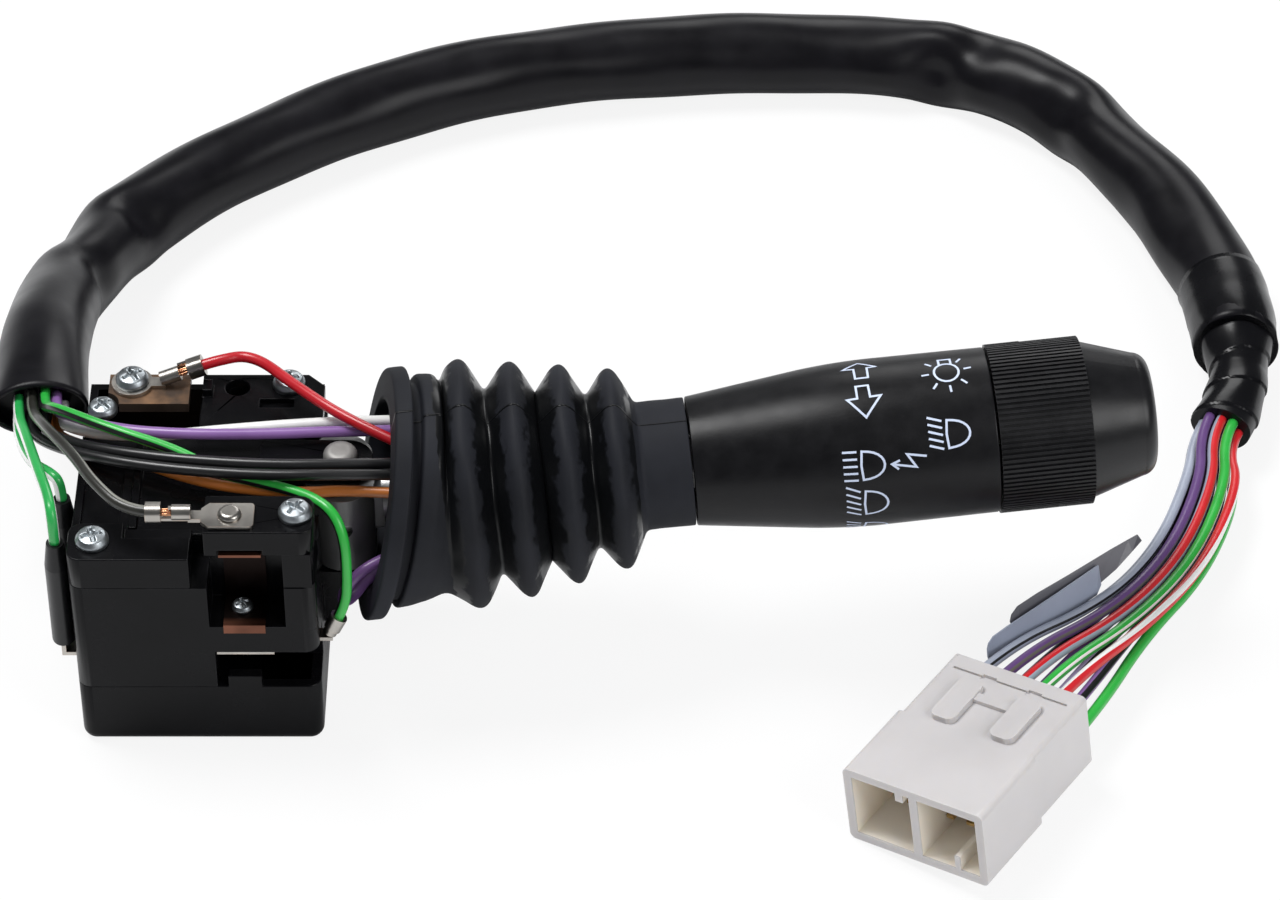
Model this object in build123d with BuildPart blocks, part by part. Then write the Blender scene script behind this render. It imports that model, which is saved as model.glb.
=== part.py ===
# Combination stalk switch for a steering column, in millimetres.
# The block stands on its base tray. +Z is up, +X runs from the block out along the stalk.
# The origin is on the base face, at the middle of the block.
from build123d import *
import os
from math import cos, pi, radians, sin, tan

os.makedirs("parts", exist_ok=True)

# Fits shared by all pieces
RUN = 0.05  # radial running clearance of pins, shafts and slides
SOFT = 0.3  # free space round the rubber boot
GAP = 0.3  # free space between pieces that pass each other

# Switch block
BLOCK_L, BLOCK_R = -21.9, 23.3  # left and right faces
BLOCK_D = 52.0  # depth from front face to back face
FRONT, BACK = -BLOCK_D / 2, BLOCK_D / 2
WALL = 2.0
TRAY_H = 14.5
CORNER = 2.6
STEP_Z = 39.5  # ledge that the left cover sits on
LEFT_TOP = 46.7
POST_Z = 47.7  # underside of the terminal block
TERMINAL_T = 5.7
TERMINAL_TOP = POST_Z + TERMINAL_T
REAR_Z = 44.0  # underside of the rear plate
REAR_TOP = 46.0
MID_Z = 42.4  # underside of the middle cover
MID_TOP = 43.8
FRONT_BAND = 10.0  # depth of the solid front of the case
REAR_EDGE = 11.2  # front edge of the rear plate
FLOOR_Z = 24.0  # ledge that the contact board lies on
BOARD_T = 1.6
POCKET_L, POCKET_R, POCKET_Z = BLOCK_R - 19.9, BLOCK_R - 5.8, 29.8
POCKET_DEEP = 8.6
SLOT_L, SLOT_TOP, SLOT_DEEP = BLOCK_R - 19.2, 23.4, 9.0

# Stalk axis, through the point where both pivots meet
PIVOT = (BLOCK_R + 3.7, 1.0, 37.3)
YAW, PITCH = 5.0, 3.6
AXIS_DIR = (cos(radians(YAW)) * cos(radians(PITCH)), sin(radians(YAW)) * cos(radians(PITCH)), sin(radians(PITCH)))
SIDE_DIR = (-sin(radians(YAW)), cos(radians(YAW)), 0)
LEVER_AXIS = Axis(PIVOT, AXIS_DIR)
# x along the stalk and y up: profiles of round pieces are drawn here
PROFILE = Plane(origin=PIVOT, x_dir=AXIS_DIR, z_dir=tuple(-v for v in SIDE_DIR))


def along(s):
    """The plane square to the stalk axis at a distance s from the pivots, facing the tip, x to the side."""
    place = Vector(*PIVOT) + Vector(*AXIS_DIR) * s
    return Plane(origin=place, x_dir=SIDE_DIR, z_dir=AXIS_DIR)


# Swivel carrier between the two arms of the case
CARRIER_W, CARRIER_LONG = 12.0, 19.0
CARRIER_Z0, CARRIER_Z1 = 27.5, 44.8
CHEEK_GAP = 10.4  # width of the window between the cheeks
WINDOW_Z0, WINDOW_Z1 = 29.6, 43.4
PIVOT_R = 2.0
CROSS_R, CROSS_LEN = 1.5, 16.0
BRIDGE_Z0 = CARRIER_Z1 + GAP
BRIDGE_T = 2.5
BRIDGE_L = 12.0
BRIDGE_W = 9.6
ARM_TIP_Z = 23.2  # underside of the lower arm's round end
COVER_R = PIVOT[0] - CARRIER_W / 2 - 1.2  # covers stop short of the swinging carrier

# Lever root, tail and detent
ROOT_W, ROOT_H = 9.8, 9.2
ROOT_S0, ROOT_S1 = -6.5, 7.5
TAIL_R, TAIL_S = 2.7, -24.0
PLUNGER_R = 1.5
TIP_S = -30.0
CAM_T = 5.0
TURN_S, DIP_S = -18.0, -11.0  # where the tail drives the two contact slides
DIP_DEG = 6.0

# Boot
FLANGE_S, FLANGE_R, FLANGE_T, FLANGE_TILT = 6.1, 23.4, 3.4, 14.2
GROOVE_W, GROOVE_R = 2.0, 19.7
COLLAR_R, COLLAR_S = 21.0, 15.4
BOOT_WALL = 1.8
RIDGE_S, RIDGE_R = (23.8, 33.2, 42.4, 51.6), (23.2, 21.8, 20.3, 18.6)
VALLEY_S, VALLEY_R = (19.0, 28.3, 37.7, 46.9), (19.8, 17.7, 16.2, 14.6)
NECK_S0, NECK_S1, NECK_R = 55.9, 65.1, 12.0

# Handle and rotary knob
TUBE_R, TUBE_WALL = 5.0, 1.0
SPIGOT_R = 10.0
HANDLE_R0, HANDLE_R1, HANDLE_R2 = 12.1, 15.35, 15.6
HANDLE_S0, FLARE_S, HANDLE_S1 = NECK_S1 + SOFT, 92.0, 121.8
HANDLE_WALL = 2.2
SOLID_S = 85.0  # the handle is solid up to here
KNOB_S0, KNOB_S1 = HANDLE_S1 + GAP, 139.4
KNOB_R, RIB_H, RIBS = 15.4, 0.4, 96
KNOB_WALL = 2.4
LUG_LONG, LUG_W, LUG_H = 6.5, 4.2, 0.9
LUG_TURN = 48.0
CAP_S, CAP_R0, CAP_R1 = 152.0, 14.8, 11.6
SHAFT_R = 3.0
WAFER_S0, WAFER_T = 113.0, 3.0

# Terminals, screws and wires
HEAD_R, HEAD_H = 3.1, 2.2
SCREW_R = 1.5
WIRE_D = 2.1
SLEEVE_D = 17.5
TAPE_D = 11.5

# Connector, lying on its lower left edge
PLUG_TURN, PLUG_ROLL = radians(55.2), radians(8.5)
PLUG_LONG, PLUG_W, PLUG_H = 37.4, 28.6, 16.8
HOOD_LONG, HOOD_W = 18.5, 30.0
PLUG_AT = (143.1, -42.9, HOOD_W / 2 * sin(PLUG_ROLL) + PLUG_H / 2 * cos(PLUG_ROLL))
PLUG_WALL = 1.7
BAY_DEEP = 17.0
PIN_W, PIN_T = 1.6, 0.7
WAYS, WAY_PITCH, ROW_PITCH = 6, 4.3, 6.0
ENTRY_D, ENTRY_DEEP = 2.7, 6.0


def finish(piece, name):
    piece.part.label = name
    export_step(piece.part, f"parts/{name}.step")


def span(x0, x1, y0, y1, mode=Mode.ADD):
    """A rectangle in the sketch, from its edges."""
    with Locations(((x0 + x1) / 2, (y0 + y1) / 2)):
        Rectangle(x1 - x0, y1 - y0, mode=mode)


# Block: tray, case and covers
CAV_L, CAV_R = BLOCK_L + WALL, BLOCK_R - WALL
CAV_F, CAV_B = FRONT + FRONT_BAND + 1.0, BACK - WALL
LEDGE = 2.0
SCREWS = {
    "front_left": (BLOCK_L + 4.6, FRONT + 4.9, LEFT_TOP),
    "front_right": (BLOCK_R - 3.3, FRONT + 5.0, TERMINAL_TOP),
    "rear_left": (BLOCK_L + 8.6, BACK - 2.9, REAR_TOP + 0.8),
    "rear_right": (BLOCK_R - 7.0, BACK - 3.0, REAR_TOP),
}
POCKET_SCREW = (POCKET_L + 5.9, FRONT + 4.6, POCKET_Z)
SIDE_SCREW = (BLOCK_L + 3.3, BACK - 8.2, REAR_Z)
FIX_HOLE_AT, FIX_HOLE_R, FIX_HOLE_DEEP = (BLOCK_R - 16.7, BACK - 3.7), 2.3, 9.0

with BuildPart() as base_tray:
    with BuildSketch():
        span(BLOCK_L, BLOCK_R, FRONT, BACK)
    extrude(amount=TRAY_H)
    fillet(base_tray.edges().filter_by(Axis.Z), CORNER)
    fillet(base_tray.faces().sort_by(Axis.Z)[0].edges(), CORNER - 0.4)
    with BuildSketch(Plane.XY.offset(WALL)):
        span(CAV_L, CAV_R, FRONT + WALL, BACK - WALL)
    extrude(amount=TRAY_H, mode=Mode.SUBTRACT)
    with BuildSketch(Plane.XY.offset(TRAY_H)):
        span(SLOT_L + 2, SLOT_L + 8.3, FRONT, FRONT + WALL)
    extrude(amount=2.6)
finish(base_tray, "base_tray")

ARM_Y0, ARM_Y1 = PIVOT[1] - CARRIER_LONG / 2, PIVOT[1] + CARRIER_LONG / 2
with BuildPart() as switch_case:
    with BuildSketch(Plane.XY.offset(TRAY_H)):
        span(BLOCK_L, BLOCK_R, FRONT, BACK)
    extrude(amount=STEP_Z - TRAY_H)
    fillet(switch_case.edges().filter_by(Axis.Z), CORNER)
    # the right post carries the terminal block, and the walls behind rise to the covers
    with BuildSketch(Plane.XY.offset(STEP_Z)):
        span(POCKET_R, BLOCK_R - 0.6, FRONT + 0.2, FRONT + FRONT_BAND)
        span(SLOT_L - 0.7, POCKET_R, FRONT + POCKET_DEEP, FRONT + FRONT_BAND)
    extrude(amount=POST_Z - STEP_Z)
    with BuildSketch(Plane.XY.offset(STEP_Z)):
        span(BLOCK_L, BLOCK_R, CAV_F - 1, REAR_EDGE)
    extrude(amount=MID_Z - STEP_Z)
    with BuildSketch(Plane.XY.offset(STEP_Z)):
        span(BLOCK_L + 0.5, BLOCK_R - 0.5, REAR_EDGE, BACK - 0.5)
    extrude(amount=REAR_Z - STEP_Z)
    # hollow for the mechanism, with a ledge for the contact board
    with BuildSketch(Plane.XY.offset(FLOOR_Z)):
        span(CAV_L, CAV_R, CAV_F, CAV_B)
    extrude(amount=REAR_Z, mode=Mode.SUBTRACT)
    with BuildSketch(Plane.XY.offset(TRAY_H)):
        span(CAV_L + LEDGE, CAV_R - LEDGE, CAV_F + LEDGE, CAV_B - LEDGE)
    extrude(amount=FLOOR_Z, mode=Mode.SUBTRACT)
    # front pocket and lower slot, both open to the front
    with BuildSketch(Plane.XY.offset(POCKET_Z)):
        span(POCKET_L, POCKET_R, FRONT - 1, FRONT + POCKET_DEEP)
    extrude(amount=POST_Z, mode=Mode.SUBTRACT)
    with BuildSketch(Plane.XY.offset(TRAY_H)):
        span(SLOT_L, BLOCK_R + 1, FRONT - 1, FRONT + SLOT_DEEP)
    extrude(amount=SLOT_TOP - TRAY_H, mode=Mode.SUBTRACT)
    # lower arm under the carrier, cut back at its end to clear the boot's flange
    with BuildSketch(Plane.XY.offset(TRAY_H)):
        span(BLOCK_R - WALL, PIVOT[0], ARM_Y0, ARM_Y1)
    arm = extrude(amount=CARRIER_Z0 - GAP - TRAY_H)
    fillet(arm.edges().filter_by(Axis.Y).group_by(Axis.Z)[0].sort_by(Axis.X)[-1], 4.0)
    with BuildSketch(Plane.XY.offset(ARM_TIP_Z)):
        with Locations((PIVOT[0], PIVOT[1])):
            SlotOverall(CARRIER_LONG, CARRIER_W, rotation=90)
        span(PIVOT[0] - CARRIER_W, BLOCK_R - 1, ARM_Y0, ARM_Y1, mode=Mode.SUBTRACT)
    extrude(amount=CARRIER_Z0 - GAP - ARM_TIP_Z)
    # window in the right wall for the carrier and the tail
    with BuildSketch(Plane.XY.offset(CARRIER_Z0 - GAP)):
        span(CAV_R - 1, BLOCK_R + 1, ARM_Y0 - 0.8, ARM_Y1 + 0.8)
    extrude(amount=REAR_Z, mode=Mode.SUBTRACT)
    with Locations(Plane(origin=(PIVOT[0], PIVOT[1], CARRIER_Z0 - GAP))):
        Hole(PIVOT_R, depth=7.0)
    with Locations((FIX_HOLE_AT[0], FIX_HOLE_AT[1], REAR_Z)):
        Hole(FIX_HOLE_R + 0.1, depth=FIX_HOLE_DEEP)
finish(switch_case, "switch_case")

with BuildPart() as left_cover:
    with BuildSketch(Plane.XY.offset(STEP_Z)):
        span(BLOCK_L, SLOT_L - 3.6, FRONT, CAV_F - 1)
    extrude(amount=LEFT_TOP - STEP_Z)
    fillet(left_cover.edges().filter_by(Axis.Z).group_by(Axis.X)[0], CORNER)
    with BuildSketch(Plane.XY.offset(LEFT_TOP)):
        span(BLOCK_L + 10, SLOT_L, CAV_F - 5, CAV_F)
    extrude(amount=-1.6, mode=Mode.SUBTRACT)
    with Locations(SCREWS["front_left"]):
        Hole(SCREW_R, depth=LEFT_TOP - STEP_Z)
finish(left_cover, "left_cover")

NOTCH_L, NOTCH_R = POCKET_L + 2.4, POCKET_L + 10.6
with BuildPart() as terminal_block:
    with BuildSketch(Plane.XY.offset(POST_Z)):
        span(POCKET_L, BLOCK_R, FRONT, FRONT + FRONT_BAND)
    extrude(amount=TERMINAL_TOP - POST_Z)
    fillet(terminal_block.edges().filter_by(Axis.Z).group_by(Axis.X)[-1], CORNER)
    with BuildSketch(Plane.XY.offset(POST_Z)):
        span(NOTCH_L, NOTCH_R, FRONT - 1, FRONT + 1.4)
    extrude(amount=1.3, mode=Mode.SUBTRACT)
    with Locations(SCREWS["front_right"]):
        Hole(SCREW_R, depth=TERMINAL_TOP - POST_Z)
finish(terminal_block, "terminal_block")

with BuildPart() as middle_cover:
    with BuildSketch(Plane.XY.offset(MID_Z)):
        span(BLOCK_L, COVER_R, CAV_F - 1, REAR_EDGE)
    extrude(amount=MID_TOP - MID_Z)
    # raised rib and the recess beside it
    with BuildSketch(Plane.XY.offset(MID_TOP)):
        span(BLOCK_L + 10.5, BLOCK_L + 12, CAV_F, REAR_EDGE - 2)
    extrude(amount=0.7)
    with BuildSketch(Plane.XY.offset(MID_TOP)):
        span(BLOCK_L + 1.6, BLOCK_L + 8.6, CAV_F + 1, REAR_EDGE - 5)
    extrude(amount=-0.8, mode=Mode.SUBTRACT)
finish(middle_cover, "middle_cover")

BOARD_R = BLOCK_L + 17.3  # right edge of the brown board
with BuildPart() as rear_plate:
    with BuildSketch(Plane.XY.offset(REAR_Z)) as outline:
        span(BOARD_R + 4.6, BLOCK_R - 0.2, REAR_EDGE, BACK)
        chamfer(outline.vertices().group_by(Axis.Y)[-1].sort_by(Axis.X)[-1], 3.2)
    extrude(amount=REAR_TOP - REAR_Z)
    with Locations(SCREWS["rear_right"]):
        Hole(SCREW_R, depth=REAR_TOP - REAR_Z)
    with Locations((FIX_HOLE_AT[0], FIX_HOLE_AT[1], REAR_TOP)):
        Hole(FIX_HOLE_R, depth=REAR_TOP - REAR_Z)
    # slot with a raised rim
    with BuildSketch(Plane.XY.offset(REAR_TOP)):
        span(BOARD_R + 15.6, BOARD_R + 22, REAR_EDGE + 5.4, REAR_EDGE + 7.8)
    extrude(amount=-1.2, mode=Mode.SUBTRACT)
    # post beside the open gap
    with BuildSketch(Plane.XY.offset(REAR_TOP)):
        span(BOARD_R + 4.8, BOARD_R + 6.6, BACK - 6.4, BACK - 3.2)
    extrude(amount=1.7)
finish(rear_plate, "rear_plate")

with BuildPart() as terminal_board:
    with BuildSketch(Plane.XY.offset(REAR_Z)):
        span(BLOCK_L + 4.2, BOARD_R + 2.2, BACK - 8.4, BACK)
    extrude(amount=REAR_TOP - REAR_Z)
    with Locations(SCREWS["rear_left"]):
        Hole(SCREW_R, depth=4)
    with Locations((SIDE_SCREW[0], SIDE_SCREW[1], REAR_TOP)):
        Hole(HEAD_R, depth=4)
finish(terminal_board, "terminal_board")

with BuildPart() as pivot_bridge:
    with BuildSketch(Plane.XY.offset(BRIDGE_Z0)):
        span(BRIDGE_L, PIVOT[0], PIVOT[1] - BRIDGE_W / 2, PIVOT[1] + BRIDGE_W / 2)
        with Locations((PIVOT[0], PIVOT[1])):
            SlotOverall(CARRIER_W, BRIDGE_W)
    extrude(amount=BRIDGE_T)
    with BuildSketch(Plane.XY.offset(MID_TOP)):
        span(BRIDGE_L, COVER_R - GAP, PIVOT[1] - BRIDGE_W / 2, PIVOT[1] + BRIDGE_W / 2)
    extrude(amount=BRIDGE_Z0 - MID_TOP)
    with Locations((PIVOT[0], PIVOT[1], BRIDGE_Z0 + BRIDGE_T)):
        Hole(PIVOT_R, depth=BRIDGE_T)
finish(pivot_bridge, "pivot_bridge")

BRIDGE_TOP = BRIDGE_Z0 + BRIDGE_T
RIVET_HEAD_R, RIVET_HEAD_H = 3.2, 1.9
with BuildPart() as pivot_rivet:
    with BuildSketch(Plane.XY.offset(BRIDGE_TOP)):
        with Locations((PIVOT[0], PIVOT[1])):
            Circle(RIVET_HEAD_R)
    extrude(amount=RIVET_HEAD_H)
    fillet(pivot_rivet.faces().sort_by(Axis.Z)[-1].edges(), RIVET_HEAD_H - 0.4)
    with BuildSketch(Plane.XY.offset(BRIDGE_TOP)):
        with Locations((PIVOT[0], PIVOT[1])):
            Circle(PIVOT_R)
    extrude(amount=WINDOW_Z1 + 0.1 - BRIDGE_TOP)
finish(pivot_rivet, "pivot_rivet")

with BuildPart() as lower_pivot_pin:
    with BuildSketch(Plane.XY.offset(CARRIER_Z0 - GAP - 7.0)):
        with Locations((PIVOT[0], PIVOT[1])):
            Circle(PIVOT_R)
    extrude(amount=7.0 + GAP + WINDOW_Z0 - CARRIER_Z0 - 0.1)
finish(lower_pivot_pin, "lower_pivot_pin")


def pan_screw(x, y, z, head_r, head_h, shank_r, depth):
    """One pan-head screw, its head seated at z and its shank going down."""
    with BuildSketch(Plane.XY.offset(z)) as round_head:
        with Locations((x, y)):
            Circle(head_r)
    head = extrude(round_head.sketch, amount=head_h)
    fillet(head.faces().sort_by(Axis.Z)[-1].edges(), head_h * 0.62)
    with BuildSketch(Plane.XY.offset(z)) as shank:
        with Locations((x, y)):
            Circle(shank_r)
    extrude(shank.sketch, amount=-depth)


SCREW_DEPTHS = {
    "front_left": LEFT_TOP - STEP_Z,
    "front_right": TERMINAL_TOP - POST_Z,
    "rear_left": REAR_TOP + 0.8 - REAR_Z,
    "rear_right": REAR_TOP - REAR_Z,
}
with BuildPart() as cover_screws:
    for place, seat in SCREWS.items():
        pan_screw(*seat, HEAD_R, HEAD_H, SCREW_R, SCREW_DEPTHS[place])
finish(cover_screws, "cover_screws")

with BuildPart() as small_screws:
    pan_screw(*POCKET_SCREW[:2], POCKET_Z + 0.6, 2.0, 1.5, 1.0, 0.6)
    pan_screw(*SIDE_SCREW, HEAD_R - 0.3, HEAD_H, SCREW_R - 0.2, 0.01)
finish(small_screws, "small_screws")

# Copper strip that shows at the top and the foot of the front pocket
STRIP_T = 0.6
STRIP_L, STRIP_R = NOTCH_L + 0.2, NOTCH_R - 0.3
with BuildPart() as pocket_contact:
    with BuildSketch(Plane.YZ.offset(STRIP_L)):
        with BuildLine():
            y0, y1, z0, z1 = FRONT - 0.2, FRONT + POCKET_DEEP, POCKET_Z, POST_Z
            Polyline(
                (y0, z0 - 1.4), (y0, z0 + STRIP_T), (y1 - STRIP_T, z0 + STRIP_T), (y1 - STRIP_T, z1 - STRIP_T),
                (FRONT + 0.2, z1 - STRIP_T), (FRONT + 0.2, z1 - 0.01), (y1, z1 - 0.01), (y1, z0),
                (y0 + STRIP_T - 0.4, z0), (y0 + STRIP_T - 0.4, z0 - 1.4), close=True,
            )
        make_face()
    extrude(amount=STRIP_R - STRIP_L)
    with Locations((POCKET_SCREW[0], POCKET_SCREW[1], POCKET_Z + STRIP_T)):
        Hole(1.0, depth=STRIP_T)
finish(pocket_contact, "pocket_contact")

# Mechanism inside the case
with BuildPart() as contact_board:
    with BuildSketch(Plane.XY.offset(FLOOR_Z)):
        span(CAV_L + 0.1, CAV_R - 0.1, CAV_F + 0.1, CAV_B - 0.1)
    extrude(amount=BOARD_T)
finish(contact_board, "contact_board")
BOARD_TOP = FLOOR_Z + BOARD_T

TURN_AT = along(TURN_S).origin
DIP_AT = along(DIP_S).origin
FORK_X, FORK_GAP, FORK_T = 4.6, 2 * (TAIL_R + 1.0), 2.0
SLIDE_X, SLIDE_Y, SLIDE_T = 7.0, 18.0, 2.4
PAD_T, BLADE_T = 0.4, 0.5
SLIDE_Z = BOARD_TOP + PAD_T + RUN + BLADE_T
with BuildPart() as fixed_contacts:
    with BuildSketch(Plane.XY.offset(BOARD_TOP)):
        with Locations((TURN_AT.X, TURN_AT.Y)):
            with GridLocations(0, 7.6, 1, 3):
                Rectangle(6.0, 3.4)
    extrude(amount=PAD_T)
finish(fixed_contacts, "fixed_contacts")

with BuildPart() as turn_slide:
    with BuildSketch(Plane.XY.offset(SLIDE_Z)):
        with Locations((TURN_AT.X, TURN_AT.Y)):
            RectangleRounded(SLIDE_X, SLIDE_Y, 0.8)
    extrude(amount=SLIDE_T)
    with BuildSketch(Plane.XY.offset(SLIDE_Z + SLIDE_T)):
        with Locations((TURN_AT.X, TURN_AT.Y)):
            with GridLocations(0, FORK_GAP + FORK_T, 1, 2):
                Rectangle(FORK_X, FORK_T)
    extrude(amount=MID_Z - 2.4 - SLIDE_Z - SLIDE_T)
finish(turn_slide, "turn_slide")

with BuildPart() as turn_blade:
    with BuildSketch(Plane.XY.offset(SLIDE_Z - BLADE_T)):
        with Locations((TURN_AT.X, TURN_AT.Y)):
            RectangleRounded(4.4, 11.0, 0.6)
    extrude(amount=BLADE_T)
finish(turn_blade, "turn_blade")

DIP_TRAVEL = -DIP_S * radians(DIP_DEG)
DIP_T, DIP_WIN_W, DIP_WIN_H, DIP_RAIL = 2.8, 11.6, 6.5, 3.0
DIP_Z0, DIP_Z1 = BOARD_TOP + DIP_TRAVEL + GAP, MID_Z - DIP_TRAVEL - 0.2
with BuildPart() as dip_slide:
    with BuildSketch(Plane.YZ.offset(DIP_AT.X - DIP_T / 2)):
        span(DIP_AT.Y - DIP_WIN_W / 2 - DIP_RAIL, DIP_AT.Y + DIP_WIN_W / 2 + DIP_RAIL, DIP_Z0, DIP_Z1)
        with Locations((DIP_AT.Y, DIP_AT.Z)):
            Rectangle(DIP_WIN_W, DIP_WIN_H, mode=Mode.SUBTRACT)
    extrude(amount=DIP_T)
finish(dip_slide, "dip_slide")

# guide posts with a groove for each edge of the dip slide
GUIDE_Y = DIP_WIN_W / 2 + DIP_RAIL
with BuildPart() as slide_guides:
    for side in (-1, 1):
        with BuildSketch(Plane.XY.offset(BOARD_TOP)):
            with Locations((DIP_AT.X, DIP_AT.Y + side * (GUIDE_Y + 1.2))):
                Rectangle(DIP_T + 3.2, 4.0)
            with Locations((DIP_AT.X, DIP_AT.Y + side * (GUIDE_Y - 0.5))):
                Rectangle(DIP_T + 4 * RUN, 1.0 + 4 * RUN, mode=Mode.SUBTRACT)
        extrude(amount=MID_Z - BOARD_TOP - 0.1)
finish(slide_guides, "slide_guides")

with BuildPart() as dip_blade:
    with BuildSketch(Plane.YZ.offset(DIP_AT.X - DIP_T / 2)):
        with Locations((DIP_AT.Y, (DIP_Z0 + DIP_AT.Z - DIP_WIN_H / 2) / 2)):
            RectangleRounded(9.0, 3.0, 0.5)
    extrude(amount=-BLADE_T)
finish(dip_blade, "dip_blade")

CAM_R = -TIP_S + 0.12
with BuildPart() as detent_cam:
    with BuildSketch(Plane.XY.offset(BOARD_TOP)):
        with BuildLine():
            turn = radians(YAW)
            a0, a1 = pi + turn - 0.30, pi + turn + 0.30
            start = (PIVOT[0] + CAM_R * cos(a0), PIVOT[1] + CAM_R * sin(a0))
            middle = (PIVOT[0] - CAM_R * cos(turn), PIVOT[1] - CAM_R * sin(turn))
            end = (PIVOT[0] + CAM_R * cos(a1), PIVOT[1] + CAM_R * sin(a1))
            back = middle[0] - CAM_T
            ThreePointArc(start, middle, end)
            Polyline(end, (back, end[1]), (back, start[1]), start)
        make_face()
    extrude(amount=MID_Z - 0.1 - BOARD_TOP)
finish(detent_cam, "detent_cam")

# Swivel carrier, turned with the stalk at rest
CARRIER = Plane(origin=(PIVOT[0], PIVOT[1], 0), x_dir=(cos(radians(YAW)), sin(radians(YAW)), 0), z_dir=(0, 0, 1))
with BuildPart() as swivel_carrier:
    with BuildSketch(CARRIER.offset(CARRIER_Z0)):
        SlotOverall(CARRIER_LONG, CARRIER_W, rotation=90)
    extrude(amount=CARRIER_Z1 - CARRIER_Z0)
    with BuildSketch(CARRIER.offset(WINDOW_Z0)):
        Rectangle(2 * CARRIER_W, CHEEK_GAP)
    extrude(amount=WINDOW_Z1 - WINDOW_Z0, mode=Mode.SUBTRACT)
    with BuildSketch(CARRIER.offset(CARRIER_Z0)):
        Circle(PIVOT_R + RUN)
    extrude(amount=CARRIER_Z1 - CARRIER_Z0, mode=Mode.SUBTRACT)
    with BuildSketch(Plane(origin=PIVOT, x_dir=(0, 0, 1), z_dir=SIDE_DIR)):
        Circle(CROSS_R)
    extrude(amount=CARRIER_LONG, both=True, mode=Mode.SUBTRACT)
finish(swivel_carrier, "swivel_carrier")

with BuildPart() as cross_pin:
    with BuildSketch(Plane(origin=PIVOT, x_dir=(0, 0, 1), z_dir=SIDE_DIR)):
        Circle(CROSS_R)
    extrude(amount=CROSS_LEN / 2, both=True)
finish(cross_pin, "cross_pin")

# Lever: root with its tail, tube, detent plunger and spring
SPIGOT_S = 19.0
with BuildPart() as lever_root:
    with BuildSketch(along(ROOT_S0)):
        RectangleRounded(ROOT_W, ROOT_H, 1.2)
    extrude(amount=ROOT_S1 - ROOT_S0)
    with BuildSketch(along(ROOT_S0)):
        Circle(TAIL_R)
    extrude(amount=TAIL_S - ROOT_S0)
    with BuildSketch(along(ROOT_S1)):
        Circle(TUBE_R - TUBE_WALL)
    extrude(amount=SPIGOT_S - ROOT_S1)
    with BuildSketch(along(TAIL_S)):
        Circle(PLUNGER_R + RUN)
    extrude(amount=ROOT_S0 - 2 - TAIL_S, mode=Mode.SUBTRACT)
    with BuildSketch(Plane(origin=PIVOT, x_dir=(0, 0, 1), z_dir=SIDE_DIR)):
        Circle(CROSS_R + RUN)
    extrude(amount=ROOT_W, both=True, mode=Mode.SUBTRACT)
finish(lever_root, "lever_root")

PLUNGER_LONG = 12.0
with BuildPart() as detent_plunger:
    with BuildSketch(PROFILE):
        with BuildLine():
            Line((TIP_S, 0), (TIP_S + PLUNGER_LONG, 0))
            Line((TIP_S + PLUNGER_LONG, 0), (TIP_S + PLUNGER_LONG, PLUNGER_R))
            Line((TIP_S + PLUNGER_LONG, PLUNGER_R), (TIP_S + PLUNGER_R, PLUNGER_R))
            RadiusArc((TIP_S + PLUNGER_R, PLUNGER_R), (TIP_S, 0), -PLUNGER_R)
        make_face()
    revolve(axis=LEVER_AXIS)
finish(detent_plunger, "detent_plunger")

SPRING_R, SPRING_WIRE = 1.05, 0.45
SPRING_S0, SPRING_S1 = TIP_S + PLUNGER_LONG + 0.3, ROOT_S0 - 2.3
with BuildPart() as detent_spring:
    with BuildLine() as coil:
        Helix(pitch=1.8, height=SPRING_S1 - SPRING_S0, radius=SPRING_R, center=along(SPRING_S0).origin,
              direction=AXIS_DIR)
    with BuildSketch(Plane(origin=coil.line @ 0, z_dir=coil.line % 0)):
        RegularPolygon(SPRING_WIRE / 2, 6)
    sweep(path=coil.line, is_frenet=True)
finish(detent_spring, "detent_spring")

with BuildPart() as lever_tube:
    with BuildSketch(along(ROOT_S1)):
        Circle(TUBE_R)
        Circle(TUBE_R - TUBE_WALL, mode=Mode.SUBTRACT)
    extrude(amount=SOLID_S - 4 - ROOT_S1)
finish(lever_tube, "lever_tube")

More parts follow.
